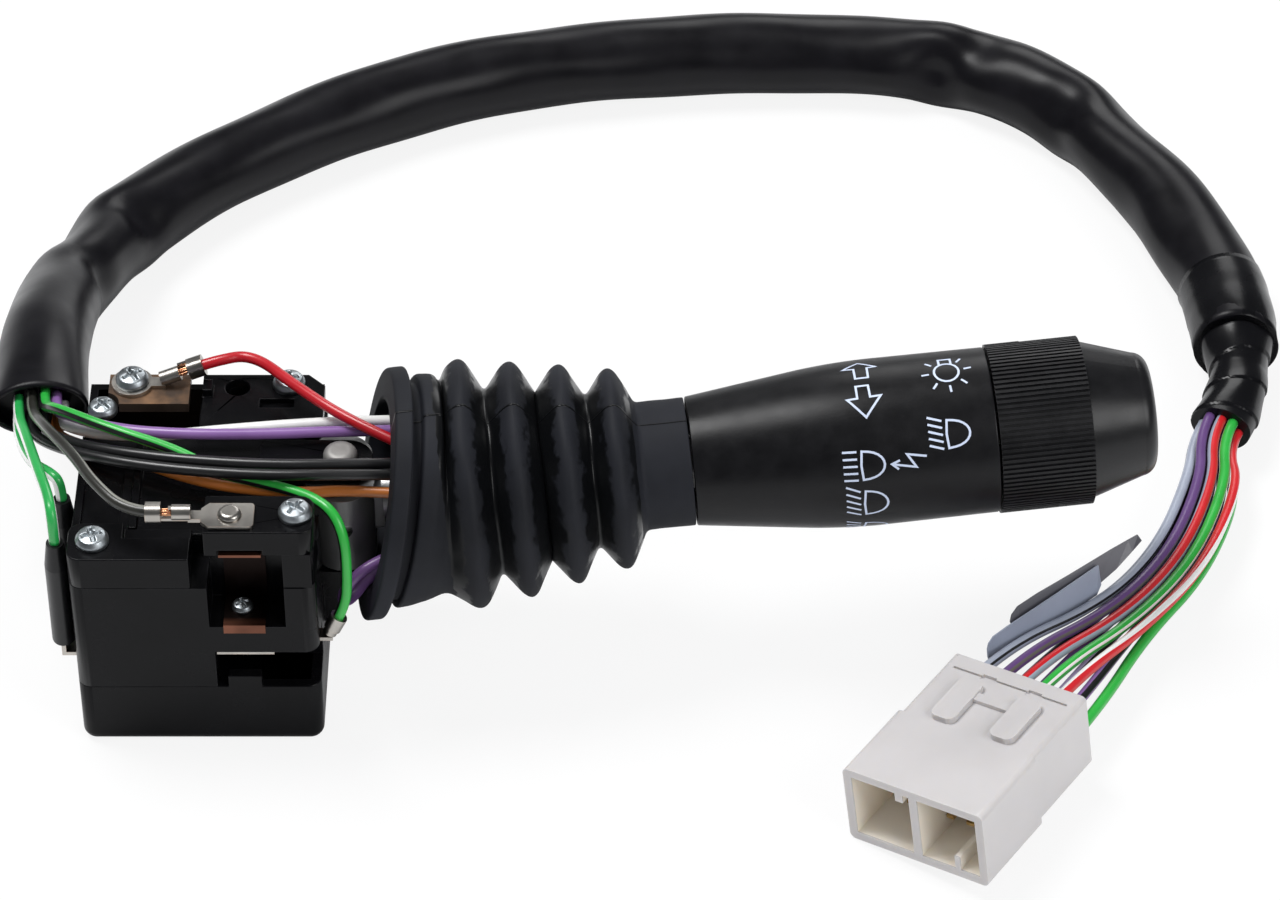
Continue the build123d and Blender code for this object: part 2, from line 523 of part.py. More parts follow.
# Rubber boot: tilted clamping flange, groove, wedge collar and four pleats
FLANGE = Plane(
    origin=along(FLANGE_S).origin,
    x_dir=SIDE_DIR,
    z_dir=(cos(radians(FLANGE_TILT - PITCH)) * cos(radians(YAW)), cos(radians(FLANGE_TILT - PITCH)) * sin(radians(YAW)),
           -sin(radians(FLANGE_TILT - PITCH))),
)
OPEN_R = 17.6
with BuildPart() as boot_collar:
    with BuildSketch(along(FLANGE_S - 8)):
        Circle(COLLAR_R)
    extrude(amount=COLLAR_S - FLANGE_S + 8)
    split(bisect_by=FLANGE.offset(FLANGE_T + GROOVE_W), keep=Keep.TOP)
with BuildPart() as boot:
    with BuildSketch(along(FLANGE_S - 8)):
        Circle(GROOVE_R)
    extrude(amount=COLLAR_S - FLANGE_S + 7)
    split(bisect_by=FLANGE.offset(FLANGE_T / 2), keep=Keep.TOP)
    with BuildSketch(FLANGE):
        Circle(FLANGE_R)
    extrude(amount=FLANGE_T)
    add(boot_collar.part)
    with BuildSketch(PROFILE):
        with BuildLine():
            outer = [(COLLAR_S - 0.5, COLLAR_R - 0.6)]
            for k in range(len(RIDGE_S)):
                outer += [(VALLEY_S[k], VALLEY_R[k]), (RIDGE_S[k], RIDGE_R[k])]
            outer += [(NECK_S0, NECK_R), (NECK_S1, NECK_R), (NECK_S1, 0), (COLLAR_S - 0.5, 0)]
            Polyline(*outer, close=True)
        make_face()
    revolve(axis=LEVER_AXIS)
    # the hollow inside follows the pleats
    with BuildSketch(PROFILE):
        with BuildLine():
            inner = [(FLANGE_S - 12, 0), (FLANGE_S - 12, OPEN_R), (COLLAR_S + 0.6, OPEN_R)]
            for k in range(len(RIDGE_S)):
                inner += [(VALLEY_S[k], VALLEY_R[k] - BOOT_WALL), (RIDGE_S[k], RIDGE_R[k] - 1.6 * BOOT_WALL)]
            inner += [(NECK_S0 + 0.5, SPIGOT_R + SOFT), (NECK_S1 + 1, SPIGOT_R + SOFT), (NECK_S1 + 1, 0)]
            Polyline(*inner, close=True)
        make_face()
    revolve(axis=LEVER_AXIS, mode=Mode.SUBTRACT)
finish(boot, "boot")

# Handle: spigot for the boot, flared grip and the bore for the rotary switch
with BuildPart() as handle:
    with BuildSketch(PROFILE):
        with BuildLine():
            Line((NECK_S0 + 1.5, TUBE_R), (NECK_S0 + 1.5, SPIGOT_R))
            Line((NECK_S0 + 1.5, SPIGOT_R), (HANDLE_S0, SPIGOT_R))
            Line((HANDLE_S0, SPIGOT_R), (HANDLE_S0, HANDLE_R0))
            Spline((HANDLE_S0, HANDLE_R0), ((HANDLE_S0 + FLARE_S) / 2, (HANDLE_R0 + HANDLE_R1) / 2 + 0.05),
                   (FLARE_S, HANDLE_R1), (HANDLE_S1, HANDLE_R2 - 0.1))
            Polyline((HANDLE_S1, HANDLE_R2 - 0.1), (HANDLE_S1, HANDLE_R2 - HANDLE_WALL),
                     (SOLID_S + 3, HANDLE_R2 - HANDLE_WALL - 0.6), (SOLID_S, TUBE_R + 2), (SOLID_S, TUBE_R),
                     (NECK_S0 + 1.5, TUBE_R))
        make_face()
    revolve(axis=LEVER_AXIS)
finish(handle, "handle")

# Rotary switch in the handle: fixed wafer, shaft, wiper and detent ball
WAFER_R = HANDLE_R2 - HANDLE_WALL - 0.32
with BuildPart() as rotary_wafer:
    with BuildSketch(along(WAFER_S0)):
        Circle(WAFER_R)
        Circle(SHAFT_R + RUN, mode=Mode.SUBTRACT)
    extrude(amount=WAFER_T)
finish(rotary_wafer, "rotary_wafer")

with BuildPart() as wafer_contacts:
    with BuildSketch(along(WAFER_S0)):
        with PolarLocations(8.6, 4, start_angle=0, angular_range=360):
            RectangleRounded(4.0, 3.0, 0.4)
    extrude(amount=-PAD_T)
finish(wafer_contacts, "wafer_contacts")

WIPER_S = WAFER_S0 - PAD_T - RUN - BLADE_T
with BuildPart() as rotary_wiper:
    with BuildSketch(along(WIPER_S)):
        SlotOverall(20.0, 4.2)
        Circle(SHAFT_R + 1.6)
        Circle(SHAFT_R, mode=Mode.SUBTRACT)
    extrude(amount=BLADE_T)
finish(rotary_wiper, "rotary_wiper")

WEB_S, WEB_T = KNOB_S0 + 4.0, 2.4
with BuildPart() as knob_shaft:
    with BuildSketch(along(WIPER_S - 1.5)):
        Circle(SHAFT_R)
    extrude(amount=WEB_S + WEB_T + 2.0 - WIPER_S + 1.5)
finish(knob_shaft, "knob_shaft")

# Knurled ring, turned by hand, with a smooth pointer lug on top
with BuildPart() as knob_ring:
    with BuildSketch(along(KNOB_S0)):
        Circle(KNOB_R)
        with PolarLocations(KNOB_R, RIBS):
            Rectangle(2 * RIB_H, pi * KNOB_R / RIBS)
    extrude(amount=KNOB_S1 - KNOB_S0)
    with BuildSketch(along(KNOB_S0)):
        Circle(KNOB_R - KNOB_WALL)
    extrude(amount=KNOB_S1 - KNOB_S0, mode=Mode.SUBTRACT)
    with BuildSketch(along(WEB_S)):
        Circle(KNOB_R - KNOB_WALL + 0.5)
        Circle(SHAFT_R, mode=Mode.SUBTRACT)
    extrude(amount=WEB_T)
    with BuildSketch(along(KNOB_S0)):
        with PolarLocations(KNOB_R - 0.4, 1, start_angle=LUG_TURN):
            RectangleRounded(2 * LUG_H, LUG_W, 0.5)
    extrude(amount=LUG_LONG)
finish(knob_ring, "knob_ring")

CAP_S0 = KNOB_S1 + 0.05
CAP_ROUND = 2.6
with BuildPart() as end_cap:
    with BuildSketch(PROFILE):
        with BuildLine():
            Polyline((CAP_S0, KNOB_R - KNOB_WALL - 1.4), (CAP_S0 - 4, KNOB_R - KNOB_WALL - 1.4),
                     (CAP_S0 - 4, KNOB_R - KNOB_WALL), (CAP_S0, KNOB_R - KNOB_WALL), (CAP_S0, CAP_R0),
                     (CAP_S - CAP_ROUND, CAP_R1))
            ThreePointArc((CAP_S - CAP_ROUND, CAP_R1), (CAP_S - 0.7, CAP_R1 - 1.0), (CAP_S, CAP_R1 - CAP_ROUND))
            Polyline((CAP_S, CAP_R1 - CAP_ROUND), (CAP_S, 0), (CAP_S - 2, 0), (CAP_S - 2, CAP_R1 - CAP_ROUND),
                     (CAP_S0, KNOB_R - KNOB_WALL - 1.4))
        make_face()
    revolve(axis=LEVER_AXIS)
finish(end_cap, "end_cap")


# Terminals and their crimped barrels
BLADE_W, BLADE_H = 6.3, 0.8
CORE_R, GRIP_R = 0.75, WIRE_D / 2  # bores of the wire barrel and the insulation barrel
RIVET_AT = (8.2, FRONT + 4.0, TERMINAL_TOP)
BARREL_Z = TERMINAL_TOP + 1.45
with BuildPart() as rivet_terminal:
    with BuildSketch(Plane.XY.offset(TERMINAL_TOP)) as tongue:
        with Locations((RIVET_AT[0] - 0.4, RIVET_AT[1])):
            Rectangle(9.6, BLADE_W)
        chamfer(tongue.vertices().group_by(Axis.X)[0], 1.4)
        fillet(tongue.vertices().group_by(Axis.X)[-1], 0.8)
        with Locations((RIVET_AT[0] - 5.8, RIVET_AT[1])):
            Rectangle(3.4, 2.4)
    extrude(amount=BLADE_H)
    barrel = Plane(origin=(RIVET_AT[0] - 7.0, RIVET_AT[1], BARREL_Z), z_dir=(-1, 0, 0))
    with BuildSketch(barrel):
        Circle(1.45)
        Circle(CORE_R, mode=Mode.SUBTRACT)
    extrude(amount=3.4)
    with BuildSketch(barrel.offset(3.4)):
        Rectangle(2.4, 0.8)
        Circle(CORE_R, mode=Mode.SUBTRACT)
    with BuildSketch(Plane.XY.offset(TERMINAL_TOP)):
        with Locations((RIVET_AT[0] - 11.0, RIVET_AT[1])):
            Rectangle(7.0, 1.6)
    extrude(amount=0.6)
    with BuildSketch(barrel.offset(5.4)):
        RectangleRounded(3.6, 3.6, 1.5)
        Circle(GRIP_R, mode=Mode.SUBTRACT)
    extrude(amount=2.8)
    # core clear for the wire
    with BuildSketch(barrel.offset(3.0)):
        Circle(GRIP_R)
    extrude(amount=5.4, mode=Mode.SUBTRACT)
    # dome rivet that holds the tongue
    with BuildSketch(Plane.XY.offset(TERMINAL_TOP + BLADE_H)):
        with Locations(RIVET_AT[:2]):
            Circle(2.2)
    dome = extrude(amount=1.1)
    fillet(dome.faces().sort_by(Axis.Z)[-1].edges(), 0.95)
finish(rivet_terminal, "rivet_terminal")

RING_R = 3.9
RING_DIR = Vector(0.94, 0.13, 0.31).normalized()
RING_NECK = Vector(SCREWS["rear_left"][0] + RING_R + 1.6, SCREWS["rear_left"][1] + 0.1, REAR_TOP + 1.3)
with BuildPart() as ring_terminal:
    with BuildSketch(Plane.XY.offset(REAR_TOP)):
        with Locations(SCREWS["rear_left"][:2]):
            Circle(RING_R)
            Circle(SCREW_R + RUN, mode=Mode.SUBTRACT)
        with Locations((SCREWS["rear_left"][0] + RING_R + 1.0, SCREWS["rear_left"][1])):
            Rectangle(2.8, 2.6)
    extrude(amount=BLADE_H)
    neck = Plane(origin=RING_NECK, z_dir=RING_DIR)
    with BuildSketch(neck):
        Circle(1.45)
        Circle(CORE_R, mode=Mode.SUBTRACT)
    extrude(amount=3.8)
    with BuildSketch(neck.offset(3.6)):
        with Locations((0, -1.55)):
            Rectangle(1.8, 0.7)
    extrude(amount=2.4)
    with BuildSketch(neck.offset(5.6)):
        RectangleRounded(3.8, 3.8, 1.5)
        Circle(GRIP_R, mode=Mode.SUBTRACT)
    extrude(amount=3.0)
finish(ring_terminal, "ring_terminal")

TAB_AT = Vector(25.0, FRONT + 5.2, SLOT_TOP + 0.1)
TAB_DIR = Vector(0.45, 0.1, 0.88).normalized()
with BuildPart() as output_tab:
    with BuildSketch(Plane.XY.offset(SLOT_TOP - BLADE_H - RUN)):
        span(SLOT_L + 0.3, 15.0, FRONT + 0.3, FRONT + 0.3 + BLADE_W)
        span(15.0, TAB_AT.X + 0.6, TAB_AT.Y - 1.3, TAB_AT.Y + 1.3)
    extrude(amount=BLADE_H)
    neck = Plane(origin=TAB_AT, z_dir=TAB_DIR)
    with BuildSketch(neck):
        Circle(1.35)
    extrude(amount=1.6)
    with BuildSketch(neck.offset(1.2)):
        RectangleRounded(3.2, 3.2, 1.4)
        Circle(GRIP_R, mode=Mode.SUBTRACT)
    extrude(amount=3.0)
finish(output_tab, "output_tab")

# Sleeved spade terminals on the left wall
SIDE_Y = (-19.5, -6.0)
SIDE_Z = (21.5, 20.0)
SHRINK_LONG = 23.5
SHRINK_X = BLOCK_L - 2.5
with BuildPart() as shrink_sleeves:
    for y, z in zip(SIDE_Y, SIDE_Z):
        with BuildSketch(Plane.XY.offset(z)):
            with Locations((SHRINK_X, y)):
                Ellipse(2.25, 2.9)
        extrude(amount=SHRINK_LONG - 5)
        with BuildSketch(Plane.XY.offset(z + SHRINK_LONG - 5)):
            with Locations((SHRINK_X, y)):
                Ellipse(2.25, 2.9)
        with BuildSketch(Plane.XY.offset(z + SHRINK_LONG)):
            with Locations((SHRINK_X, y)):
                Ellipse(1.6, 1.7)
        loft()
finish(shrink_sleeves, "shrink_sleeves")

with BuildPart() as side_tabs:
    for y, z in zip(SIDE_Y, SIDE_Z):
        with BuildSketch(Plane.XY.offset(z - 3.0)):
            with Locations(((SHRINK_X + BLOCK_L) / 2, y)):
                Rectangle(BLOCK_L - SHRINK_X, 4.6)
        extrude(amount=BLADE_H)
        with BuildSketch(Plane.XY.offset(z - 3.0)):
            with Locations((SHRINK_X, y)):
                Rectangle(BLADE_H, 4.6)
        extrude(amount=3.0)
finish(side_tabs, "side_tabs")


def bend_radii(points):
    """Each corner's radius: as large as its two runs allow."""
    radii = []
    for a, b, c in zip(points, points[1:], points[2:]):
        first, second = Vector(*b) - Vector(*a), Vector(*c) - Vector(*b)
        half_turn = radians(first.get_angle(second)) / 2
        radii.append(0.45 * min(first.length, second.length) / tan(half_turn))
    return radii


def lay(routes, diameter):
    """Plain round wires along their routes, as one piece."""
    length = 0
    with BuildPart() as cord:
        for points in routes:
            radii = bend_radii(points)
            with BuildLine():
                run = FilletPolyline(*points, radius=radii)
            with BuildSketch(Plane(origin=run @ 0, z_dir=run % 0)) as section:
                Circle(diameter / 2)
            sweep(section.sketch, path=run)
            length += run.length
            print("length", round(run.length, 1), "radii", [round(r, 1) for r in radii])
    wanted = length * pi * (diameter / 2) ** 2
    print("   volume", round(cord.part.volume, 1), "section times length", round(wanted, 1))
    return cord


# Harness sleeve over the long stretch, lying on the table behind, with an open mouth at the block
SLEEVE_ROUTE = [
    (-31.5, 23.2, 39.6), (-33.0, 43.0, 35.0), (-34.0, 65.0, 26.6), (-32.4, 90.0, 15.6), (-25.6, 112.0, 9.8),
    (-12.0, 129.5, 8.9), (5.0, 143.0, 8.75), (26.0, 156.5, 8.75), (50.0, 166.6, 8.75), (77.0, 172.2, 8.75),
    (104.0, 174.6, 8.75), (130.0, 174.2, 8.75), (151.0, 170.4, 8.75), (167.4, 161.4, 8.75), (180.0, 146.6, 8.75),
    (189.4, 129.4, 8.75), (197.0, 110.6, 8.75), (202.8, 92.0, 8.75), (202.8, 77.0, 8.75),
]
SLEEVE_WALL, MOUTH_DEEP = 0.8, 3.0
INTO = (Vector(*SLEEVE_ROUTE[1]) - Vector(*SLEEVE_ROUTE[0])).normalized()
MOUTH = Plane(origin=SLEEVE_ROUTE[0], x_dir=(-INTO.Y, INTO.X, 0), z_dir=INTO)
sleeve_body = lay([SLEEVE_ROUTE], SLEEVE_D)
with BuildPart() as harness_sleeve:
    add(sleeve_body.part)
    with BuildSketch(MOUTH):
        Circle(SLEEVE_D / 2 - SLEEVE_WALL)
    extrude(amount=MOUTH_DEEP, mode=Mode.SUBTRACT)
finish(harness_sleeve, "harness_sleeve")

TAPE_ROUTE = [(202.8, 77.0, 8.75), (202.8, 69.0, 8.75), (201.0, 60.0, 8.75), (197.6, 52.5, 8.75)]
finish(lay([TAPE_ROUTE], TAPE_D), "tape_wrap")


def leave(across, up):
    """Start of a wire: on the sleeve's inner shoulder, then straight out of the mouth."""
    return [tuple(MOUTH.from_local_coords(Vector(-across, up, depth))) for depth in (MOUTH_DEEP, -4.0)]


RIVET_WIRE = [(-10.4, RIVET_AT[1], BARREL_Z), (RIVET_AT[0] - 12.4, RIVET_AT[1], BARREL_Z)]
RING_WIRE = [tuple(RING_NECK + RING_DIR * out) for out in (6.0, 11.0)]
TAB_WIRE = [tuple(TAB_AT + TAB_DIR * out) for out in (7.0, 1.6)]
BLOCK_WIRES = {
    "wire_purple": [
        [*leave(3.4, 1.6), (-25.2, 13.2, 47.4), (-15.6, 6.9, 49.2), (-2.9, 4.7, 49.9), (12.0, 4.9, 49.7),
         (27.7, 5.8, 49.7), (38.4, 7.0, 48.8)],
        [(38.0, -9.8, 33.5), (33.0, -12.6, 33.5), (28.6, -14.6, 30.4), (26.8, -14.4, 25.6), (28.4, -12.0, 23.0),
         (32.4, -8.0, 26.6), (38.0, -6.6, 29.0)],
    ],
    "wire_white": [
        [*leave(4.6, -0.6), (-25.0, 13.6, 43.8), (-18.6, 8.4, 46.4), (-7.0, 7.6, 46.8), (8.0, 8.2, 48.2),
         (25.9, 9.0, 49.2), (37.6, 10.2, 48.4)],
    ],
    "wire_red": [
        [*RING_WIRE, (9.5, 27.0, 50.2), (18.2, 15.4, 52.4), (28.4, 5.6, 52.6), (38.1, 1.2, 50.8)],
    ],
    "wires_black": [
        [*leave(0.9, -1.8), (-27.6, 11.0, 43.8), (-20.0, 2.8, 48.4), (-6.0, -2.6, 50.6), (12.6, -5.2, 51.2),
         (27.3, -4.8, 51.0), (38.2, -3.0, 49.6)],
        [*leave(-1.5, -1.4), (-30.2, 10.2, 43.6), (-22.0, 1.0, 48.4), (-7.4, -5.0, 50.4), (11.7, -7.6, 50.8),
         (26.4, -7.2, 50.6), (38.3, -5.4, 48.9)],
    ],
    "wire_green": [
        [*leave(1.2, 2.6), (-27.0, 12.2, 50.0), (-15.5, 4.0, 51.8), (-3.0, 0.2, 50.0), (4.5, -4.2, 48.3),
         (12.0, -6.2, 47.9), (18.0, -8.2, 47.8), (23.0, -11.4, 48.4), (26.6, -14.8, 47.8), (28.4, -17.4, 43.5),
         (28.6, -19.0, 36.5), *TAB_WIRE],
    ],
    "wire_orange": [
        [*leave(3.2, -2.8), (-26.2, 13.6, 41.0), (-21.4, 6.4, 45.6), (-12.0, 2.0, 46.2), (-2.0, -2.6, 45.8),
         (7.0, -5.3, 45.5), (19.8, -6.8, 45.6), (29.1, -7.0, 46.6), (38.3, -8.0, 46.6)],
    ],
    "wire_grey": [
        [*leave(-1.2, 2.0), (-28.6, 8.0, 49.4), (-21.5, -5.0, 53.4), (-17.2, -14.2, 55.2), *RIVET_WIRE],
    ],
    "wires_green_white": [
        [*leave(-3.8, 1.2), (-32.0, 8.0, 46.4), (-28.2, -5.6, 50.0), (-25.6, -14.0, 51.8),
         (SHRINK_X, -19.5, 51.4), (SHRINK_X, -19.5, 45.0)],
        [*leave(-4.0, -1.4), (-33.2, 10.0, 42.0), (-30.2, 1.4, 45.4), (-26.2, -4.4, 48.4),
         (SHRINK_X, -6.0, 47.6), (SHRINK_X, -6.0, 43.5)],
    ],
}
for name, routes in BLOCK_WIRES.items():
    finish(lay(routes, WIRE_D), name)

# Wires from the tape to the connector, fanned into its two rows of ways
TAPE_OUT = (Vector(*TAPE_ROUTE[-1]) - Vector(*TAPE_ROUTE[-2])).normalized()
FAN = Plane(origin=TAPE_ROUTE[-1], x_dir=(-TAPE_OUT.Y, TAPE_OUT.X, 0), z_dir=TAPE_OUT)
FAN_STOPS = [((194.8, 36.5, 8.0), (0.96, -0.28)), ((187.0, 15.6, 7.6), (0.87, -0.49)), ((174.4, -2.2, 8.6), (0.77, -0.64))]
LANE, ROW = 2.5, 1.35


def fan(start, row, way):
    """One wire of the fan: from its place in the tape to a way of the connector."""
    points = [tuple(FAN.from_local_coords(Vector(start[0], start[1], out))) for out in (0.0, 6.0)]
    lane = LANE * (way if row > 0 else way - 1)
    for (x, y, z), (ax, ay) in FAN_STOPS:
        points.append((x + lane * ax, y + lane * ay, z + row * ROW))
    across = Vector(-WAY_PITCH * (way - 0.5), row * ROW_PITCH / 2)
    for out in (9.0, -ENTRY_DEEP):
        points.append(tuple(ACROSS.from_local_coords(Vector(across.X, across.Y, PLUG_LONG + out))))
    return points


# Connector's frame, its x pointing from the mouth to the wires and its z out of the top face
PLUG_X = (cos(PLUG_TURN), sin(PLUG_TURN), 0)
PLUG_Z = (-sin(PLUG_TURN) * sin(PLUG_ROLL), cos(PLUG_TURN) * sin(PLUG_ROLL), cos(PLUG_ROLL))
PLUG = Plane(origin=PLUG_AT, x_dir=PLUG_X, z_dir=PLUG_Z)
MOUTH_X, REAR_X = -PLUG_LONG / 2, PLUG_LONG / 2
ACROSS = Plane(origin=PLUG.from_local_coords((MOUTH_X, 0, 0)), x_dir=PLUG.y_dir, z_dir=PLUG_X)
PLUG_WIRES = {
    "plug_wires_grey": [((-3.6, 0.0), 1, -2), ((0.0, -2.4), -1, 1)],
    "plug_wire_black": [((-2.5, -2.2), -1, -1)],
    "plug_wires_purple": [((-2.4, 2.3), 1, -1), ((-1.2, 0.0), -1, 0)],
    "plug_wires_red": [((0.0, 2.4), 1, 0), ((3.6, 0.1), 1, 2)],
    "plug_wires_green": [((1.2, -0.1), -1, 2), ((2.4, 2.3), 1, 1), ((2.5, -2.2), -1, 3)],
}
for name, lanes in PLUG_WIRES.items():
    finish(lay([fan(*lane) for lane in lanes], WIRE_D), name)

# Connector housing with its mouth in two bays
BAY_W, BAY_H = HOOD_W - 2 * PLUG_WALL, PLUG_H - 2 * PLUG_WALL
DIVIDER = 1.7
with BuildPart() as connector_housing:
    with BuildSketch(ACROSS):
        RectangleRounded(HOOD_W, PLUG_H, 1.2)
    extrude(amount=HOOD_LONG)
    with BuildSketch(ACROSS.offset(HOOD_LONG)):
        RectangleRounded(PLUG_W, PLUG_H - 0.8, 1.0)
    extrude(amount=PLUG_LONG - HOOD_LONG)
    # mouth in two bays, with a key rib at the top and a low rib in the right bay
    with BuildSketch(ACROSS):
        for side in (-1, 1):
            with Locations((side * (BAY_W + DIVIDER) / 4, 0)):
                Rectangle((BAY_W - DIVIDER) / 2, BAY_H)
        with Locations((3.0, BAY_H / 2 - 0.9)):
            Rectangle(1.6, 1.8, mode=Mode.SUBTRACT)
        with Locations((-8.6, -BAY_H / 2 + 1.5)):
            Rectangle(1.1, 3.0, mode=Mode.SUBTRACT)
    extrude(amount=BAY_DEEP, mode=Mode.SUBTRACT)
    # raised pads and the low bar on the top face
    with BuildSketch(PLUG.offset(PLUG_H / 2 - 0.4)):
        with Locations((6.6, 6.0), (6.6, -6.6)):
            RectangleRounded(12.0, 5.0, 1.6)
    extrude(amount=1.3)
    with BuildSketch(PLUG.offset(PLUG_H / 2 - 0.4)):
        with Locations((9.0, -0.3)):
            Rectangle(2.0, 8.0)
    extrude(amount=0.9)
    # seam and latch windows near the wire end
    with BuildSketch(PLUG.offset(PLUG_H / 2 - 0.4)):
        with Locations((REAR_X - 3.6, 0)):
            Rectangle(0.5, PLUG_W - 4.0)
        with Locations((REAR_X - 3.6, 4.6), (REAR_X - 3.6, -5.2)):
            Rectangle(1.4, 3.0)
    extrude(amount=-0.7, mode=Mode.SUBTRACT)
    with BuildSketch(ACROSS.offset(PLUG_LONG)):
        with GridLocations(WAY_PITCH, ROW_PITCH, WAYS, 2):
            Circle(ENTRY_D / 2)
    extrude(amount=-ENTRY_DEEP, mode=Mode.SUBTRACT)
    with BuildSketch(ACROSS.offset(BAY_DEEP - 1)):
        with GridLocations(WAY_PITCH, ROW_PITCH, WAYS, 2):
            Rectangle(PIN_W, PIN_T)
    extrude(amount=PLUG_LONG - BAY_DEEP, mode=Mode.SUBTRACT)
finish(connector_housing, "connector_housing")

PIN_BACK = 8.0  # from the mouth to the pins' tips
WAYS_USED = [(-WAY_PITCH * (way - 0.5), row * ROW_PITCH / 2) for lanes in PLUG_WIRES.values() for _, row, way in lanes]
with BuildPart() as connector_pins:
    with BuildSketch(ACROSS.offset(PIN_BACK)):
        with Locations(*WAYS_USED):
            Rectangle(PIN_W, PIN_T)
    extrude(amount=PLUG_LONG - ENTRY_DEEP - PIN_BACK)
finish(connector_pins, "connector_pins")

# Folded marker flag, blank, beside the wires
FLAG_LONG, FLAG_W, FLAG_T = 26.0, 5.8, 0.4
with BuildPart() as marker_flag:
    with BuildSketch(Plane(origin=(159.2, -4.6, 12.6), x_dir=(0.813, 0.58, 0), z_dir=(-0.58, 0.813, 0))) as blank:
        Rectangle(FLAG_LONG, FLAG_W)
        chamfer(blank.vertices().group_by(Axis.X)[0], 2.0)
    extrude(amount=FLAG_T)
finish(marker_flag, "marker_flag")
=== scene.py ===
"""Combination stalk switch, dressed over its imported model. Sizes are in millimetres unless a comment says metres."""
import math

import bpy
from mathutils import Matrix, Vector, noise


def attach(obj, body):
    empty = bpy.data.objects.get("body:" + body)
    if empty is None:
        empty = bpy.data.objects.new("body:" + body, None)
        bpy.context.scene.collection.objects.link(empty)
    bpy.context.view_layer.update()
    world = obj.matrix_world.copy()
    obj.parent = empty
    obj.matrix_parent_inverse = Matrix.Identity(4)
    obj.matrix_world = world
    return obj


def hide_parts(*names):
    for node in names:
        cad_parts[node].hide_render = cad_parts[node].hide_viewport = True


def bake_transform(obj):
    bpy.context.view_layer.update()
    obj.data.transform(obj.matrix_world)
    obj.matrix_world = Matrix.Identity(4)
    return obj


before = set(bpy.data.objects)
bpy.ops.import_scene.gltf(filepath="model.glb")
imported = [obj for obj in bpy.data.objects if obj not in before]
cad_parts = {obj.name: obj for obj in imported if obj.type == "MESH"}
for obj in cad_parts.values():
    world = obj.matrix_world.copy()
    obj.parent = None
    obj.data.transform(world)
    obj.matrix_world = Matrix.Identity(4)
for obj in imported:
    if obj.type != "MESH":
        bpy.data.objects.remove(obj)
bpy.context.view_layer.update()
MM = 0.001

# Studio: a long lens looks down at the switch on a white table.
# Three soft lamps give a plain level, and the camera sees pure white behind the object.
# Places and sizes of the camera, the lamps and the table are in metres.
LENS_LONG, LENS_DOWN = 140, math.radians(48)
SKY_LIGHT, SKY_IN_GLOSS = 0.42, 0.12
TABLE_GLOW, TABLE_TOP = 0.86, -0.0001
TABLE_LEFT, TABLE_RIGHT, TABLE_FRONT, TABLE_BACK = -1.6, 1.8, -1.4, 1.8
studio = bpy.context.scene
studio.view_settings.view_transform = "Standard"
lens = bpy.data.cameras.new("camera")
lens.lens, lens.sensor_width, lens.clip_end = LENS_LONG, 36, 10
camera = bpy.data.objects.new("camera", lens)
camera.location = (0.0825, -0.6836, 0.6657)
camera.rotation_euler = (LENS_DOWN, 0, 0)
studio.collection.objects.link(camera)
studio.camera = camera


def maths(tree, operation, *values):
    """A maths node; each value is a socket or a plain number."""
    node = tree.nodes.new("ShaderNodeMath")
    node.operation = operation
    for slot, value in zip(node.inputs, values):
        if isinstance(value, bpy.types.NodeSocket):
            tree.links.new(value, slot)
        else:
            slot.default_value = value
    return node.outputs[0]


world = bpy.data.worlds.new("studio_world")
world.use_nodes = True
studio.world = world
tree = world.node_tree
sky = tree.nodes["Background"]
sky.inputs["Color"].default_value = (0.86, 0.88, 0.92, 1)
seen = tree.nodes.new("ShaderNodeBackground")
seen.inputs["Color"].default_value = (1, 1, 1, 1)
path = tree.nodes.new("ShaderNodeLightPath")
level = maths(tree, "MULTIPLY_ADD", path.outputs["Is Glossy Ray"], SKY_IN_GLOSS - SKY_LIGHT, SKY_LIGHT)
tree.links.new(level, sky.inputs["Strength"])
which = tree.nodes.new("ShaderNodeMixShader")
tree.links.new(path.outputs["Is Camera Ray"], which.inputs["Fac"])
tree.links.new(sky.outputs["Background"], which.inputs[1])
tree.links.new(seen.outputs["Background"], which.inputs[2])
tree.links.new(which.outputs["Shader"], tree.nodes["World Output"].inputs["Surface"])

for name, spot, aim, size, power in (
    ("key", (-0.35, 0.25, 1.15), (0.08, 0.02, 0.03), 0.55, 13.0),
    ("fill", (0.75, -0.55, 0.65), (0.08, 0.02, 0.03), 0.6, 5.0),
    ("back", (0.25, 0.95, 0.55), (0.08, 0.05, 0.03), 0.5, 2.2),
):
    bulb = bpy.data.lights.new(name, "AREA")
    bulb.shape, bulb.size, bulb.energy = "DISK", size, power
    lamp = bpy.data.objects.new(name, bulb)
    lamp.location = spot
    lamp.rotation_euler = (Vector(spot) - Vector(aim)).to_track_quat("Z", "Y").to_euler()
    studio.collection.objects.link(lamp)

corners = ((TABLE_LEFT, TABLE_FRONT), (TABLE_RIGHT, TABLE_FRONT), (TABLE_RIGHT, TABLE_BACK), (TABLE_LEFT, TABLE_BACK))
table_mesh = bpy.data.meshes.new("table")
table_mesh.from_pydata([(x, y, TABLE_TOP) for x, y in corners], [], [(0, 1, 2, 3)])
table = bpy.data.objects.new("table", table_mesh)
studio.collection.objects.link(table)
white = bpy.data.materials.new("white_table")
white.use_nodes = True
tree = white.node_tree
paint = tree.nodes["Principled BSDF"]
paint.inputs["Base Color"].default_value = (0.86, 0.86, 0.86, 1)
paint.inputs["Roughness"].default_value = 0.8
paint.inputs["Specular IOR Level"].default_value = 0.1
glow = tree.nodes.new("ShaderNodeEmission")
glow.inputs["Color"].default_value = (1, 1, 1, 1)
path = tree.nodes.new("ShaderNodeLightPath")
soft = tree.nodes.new("ShaderNodeMixShader")
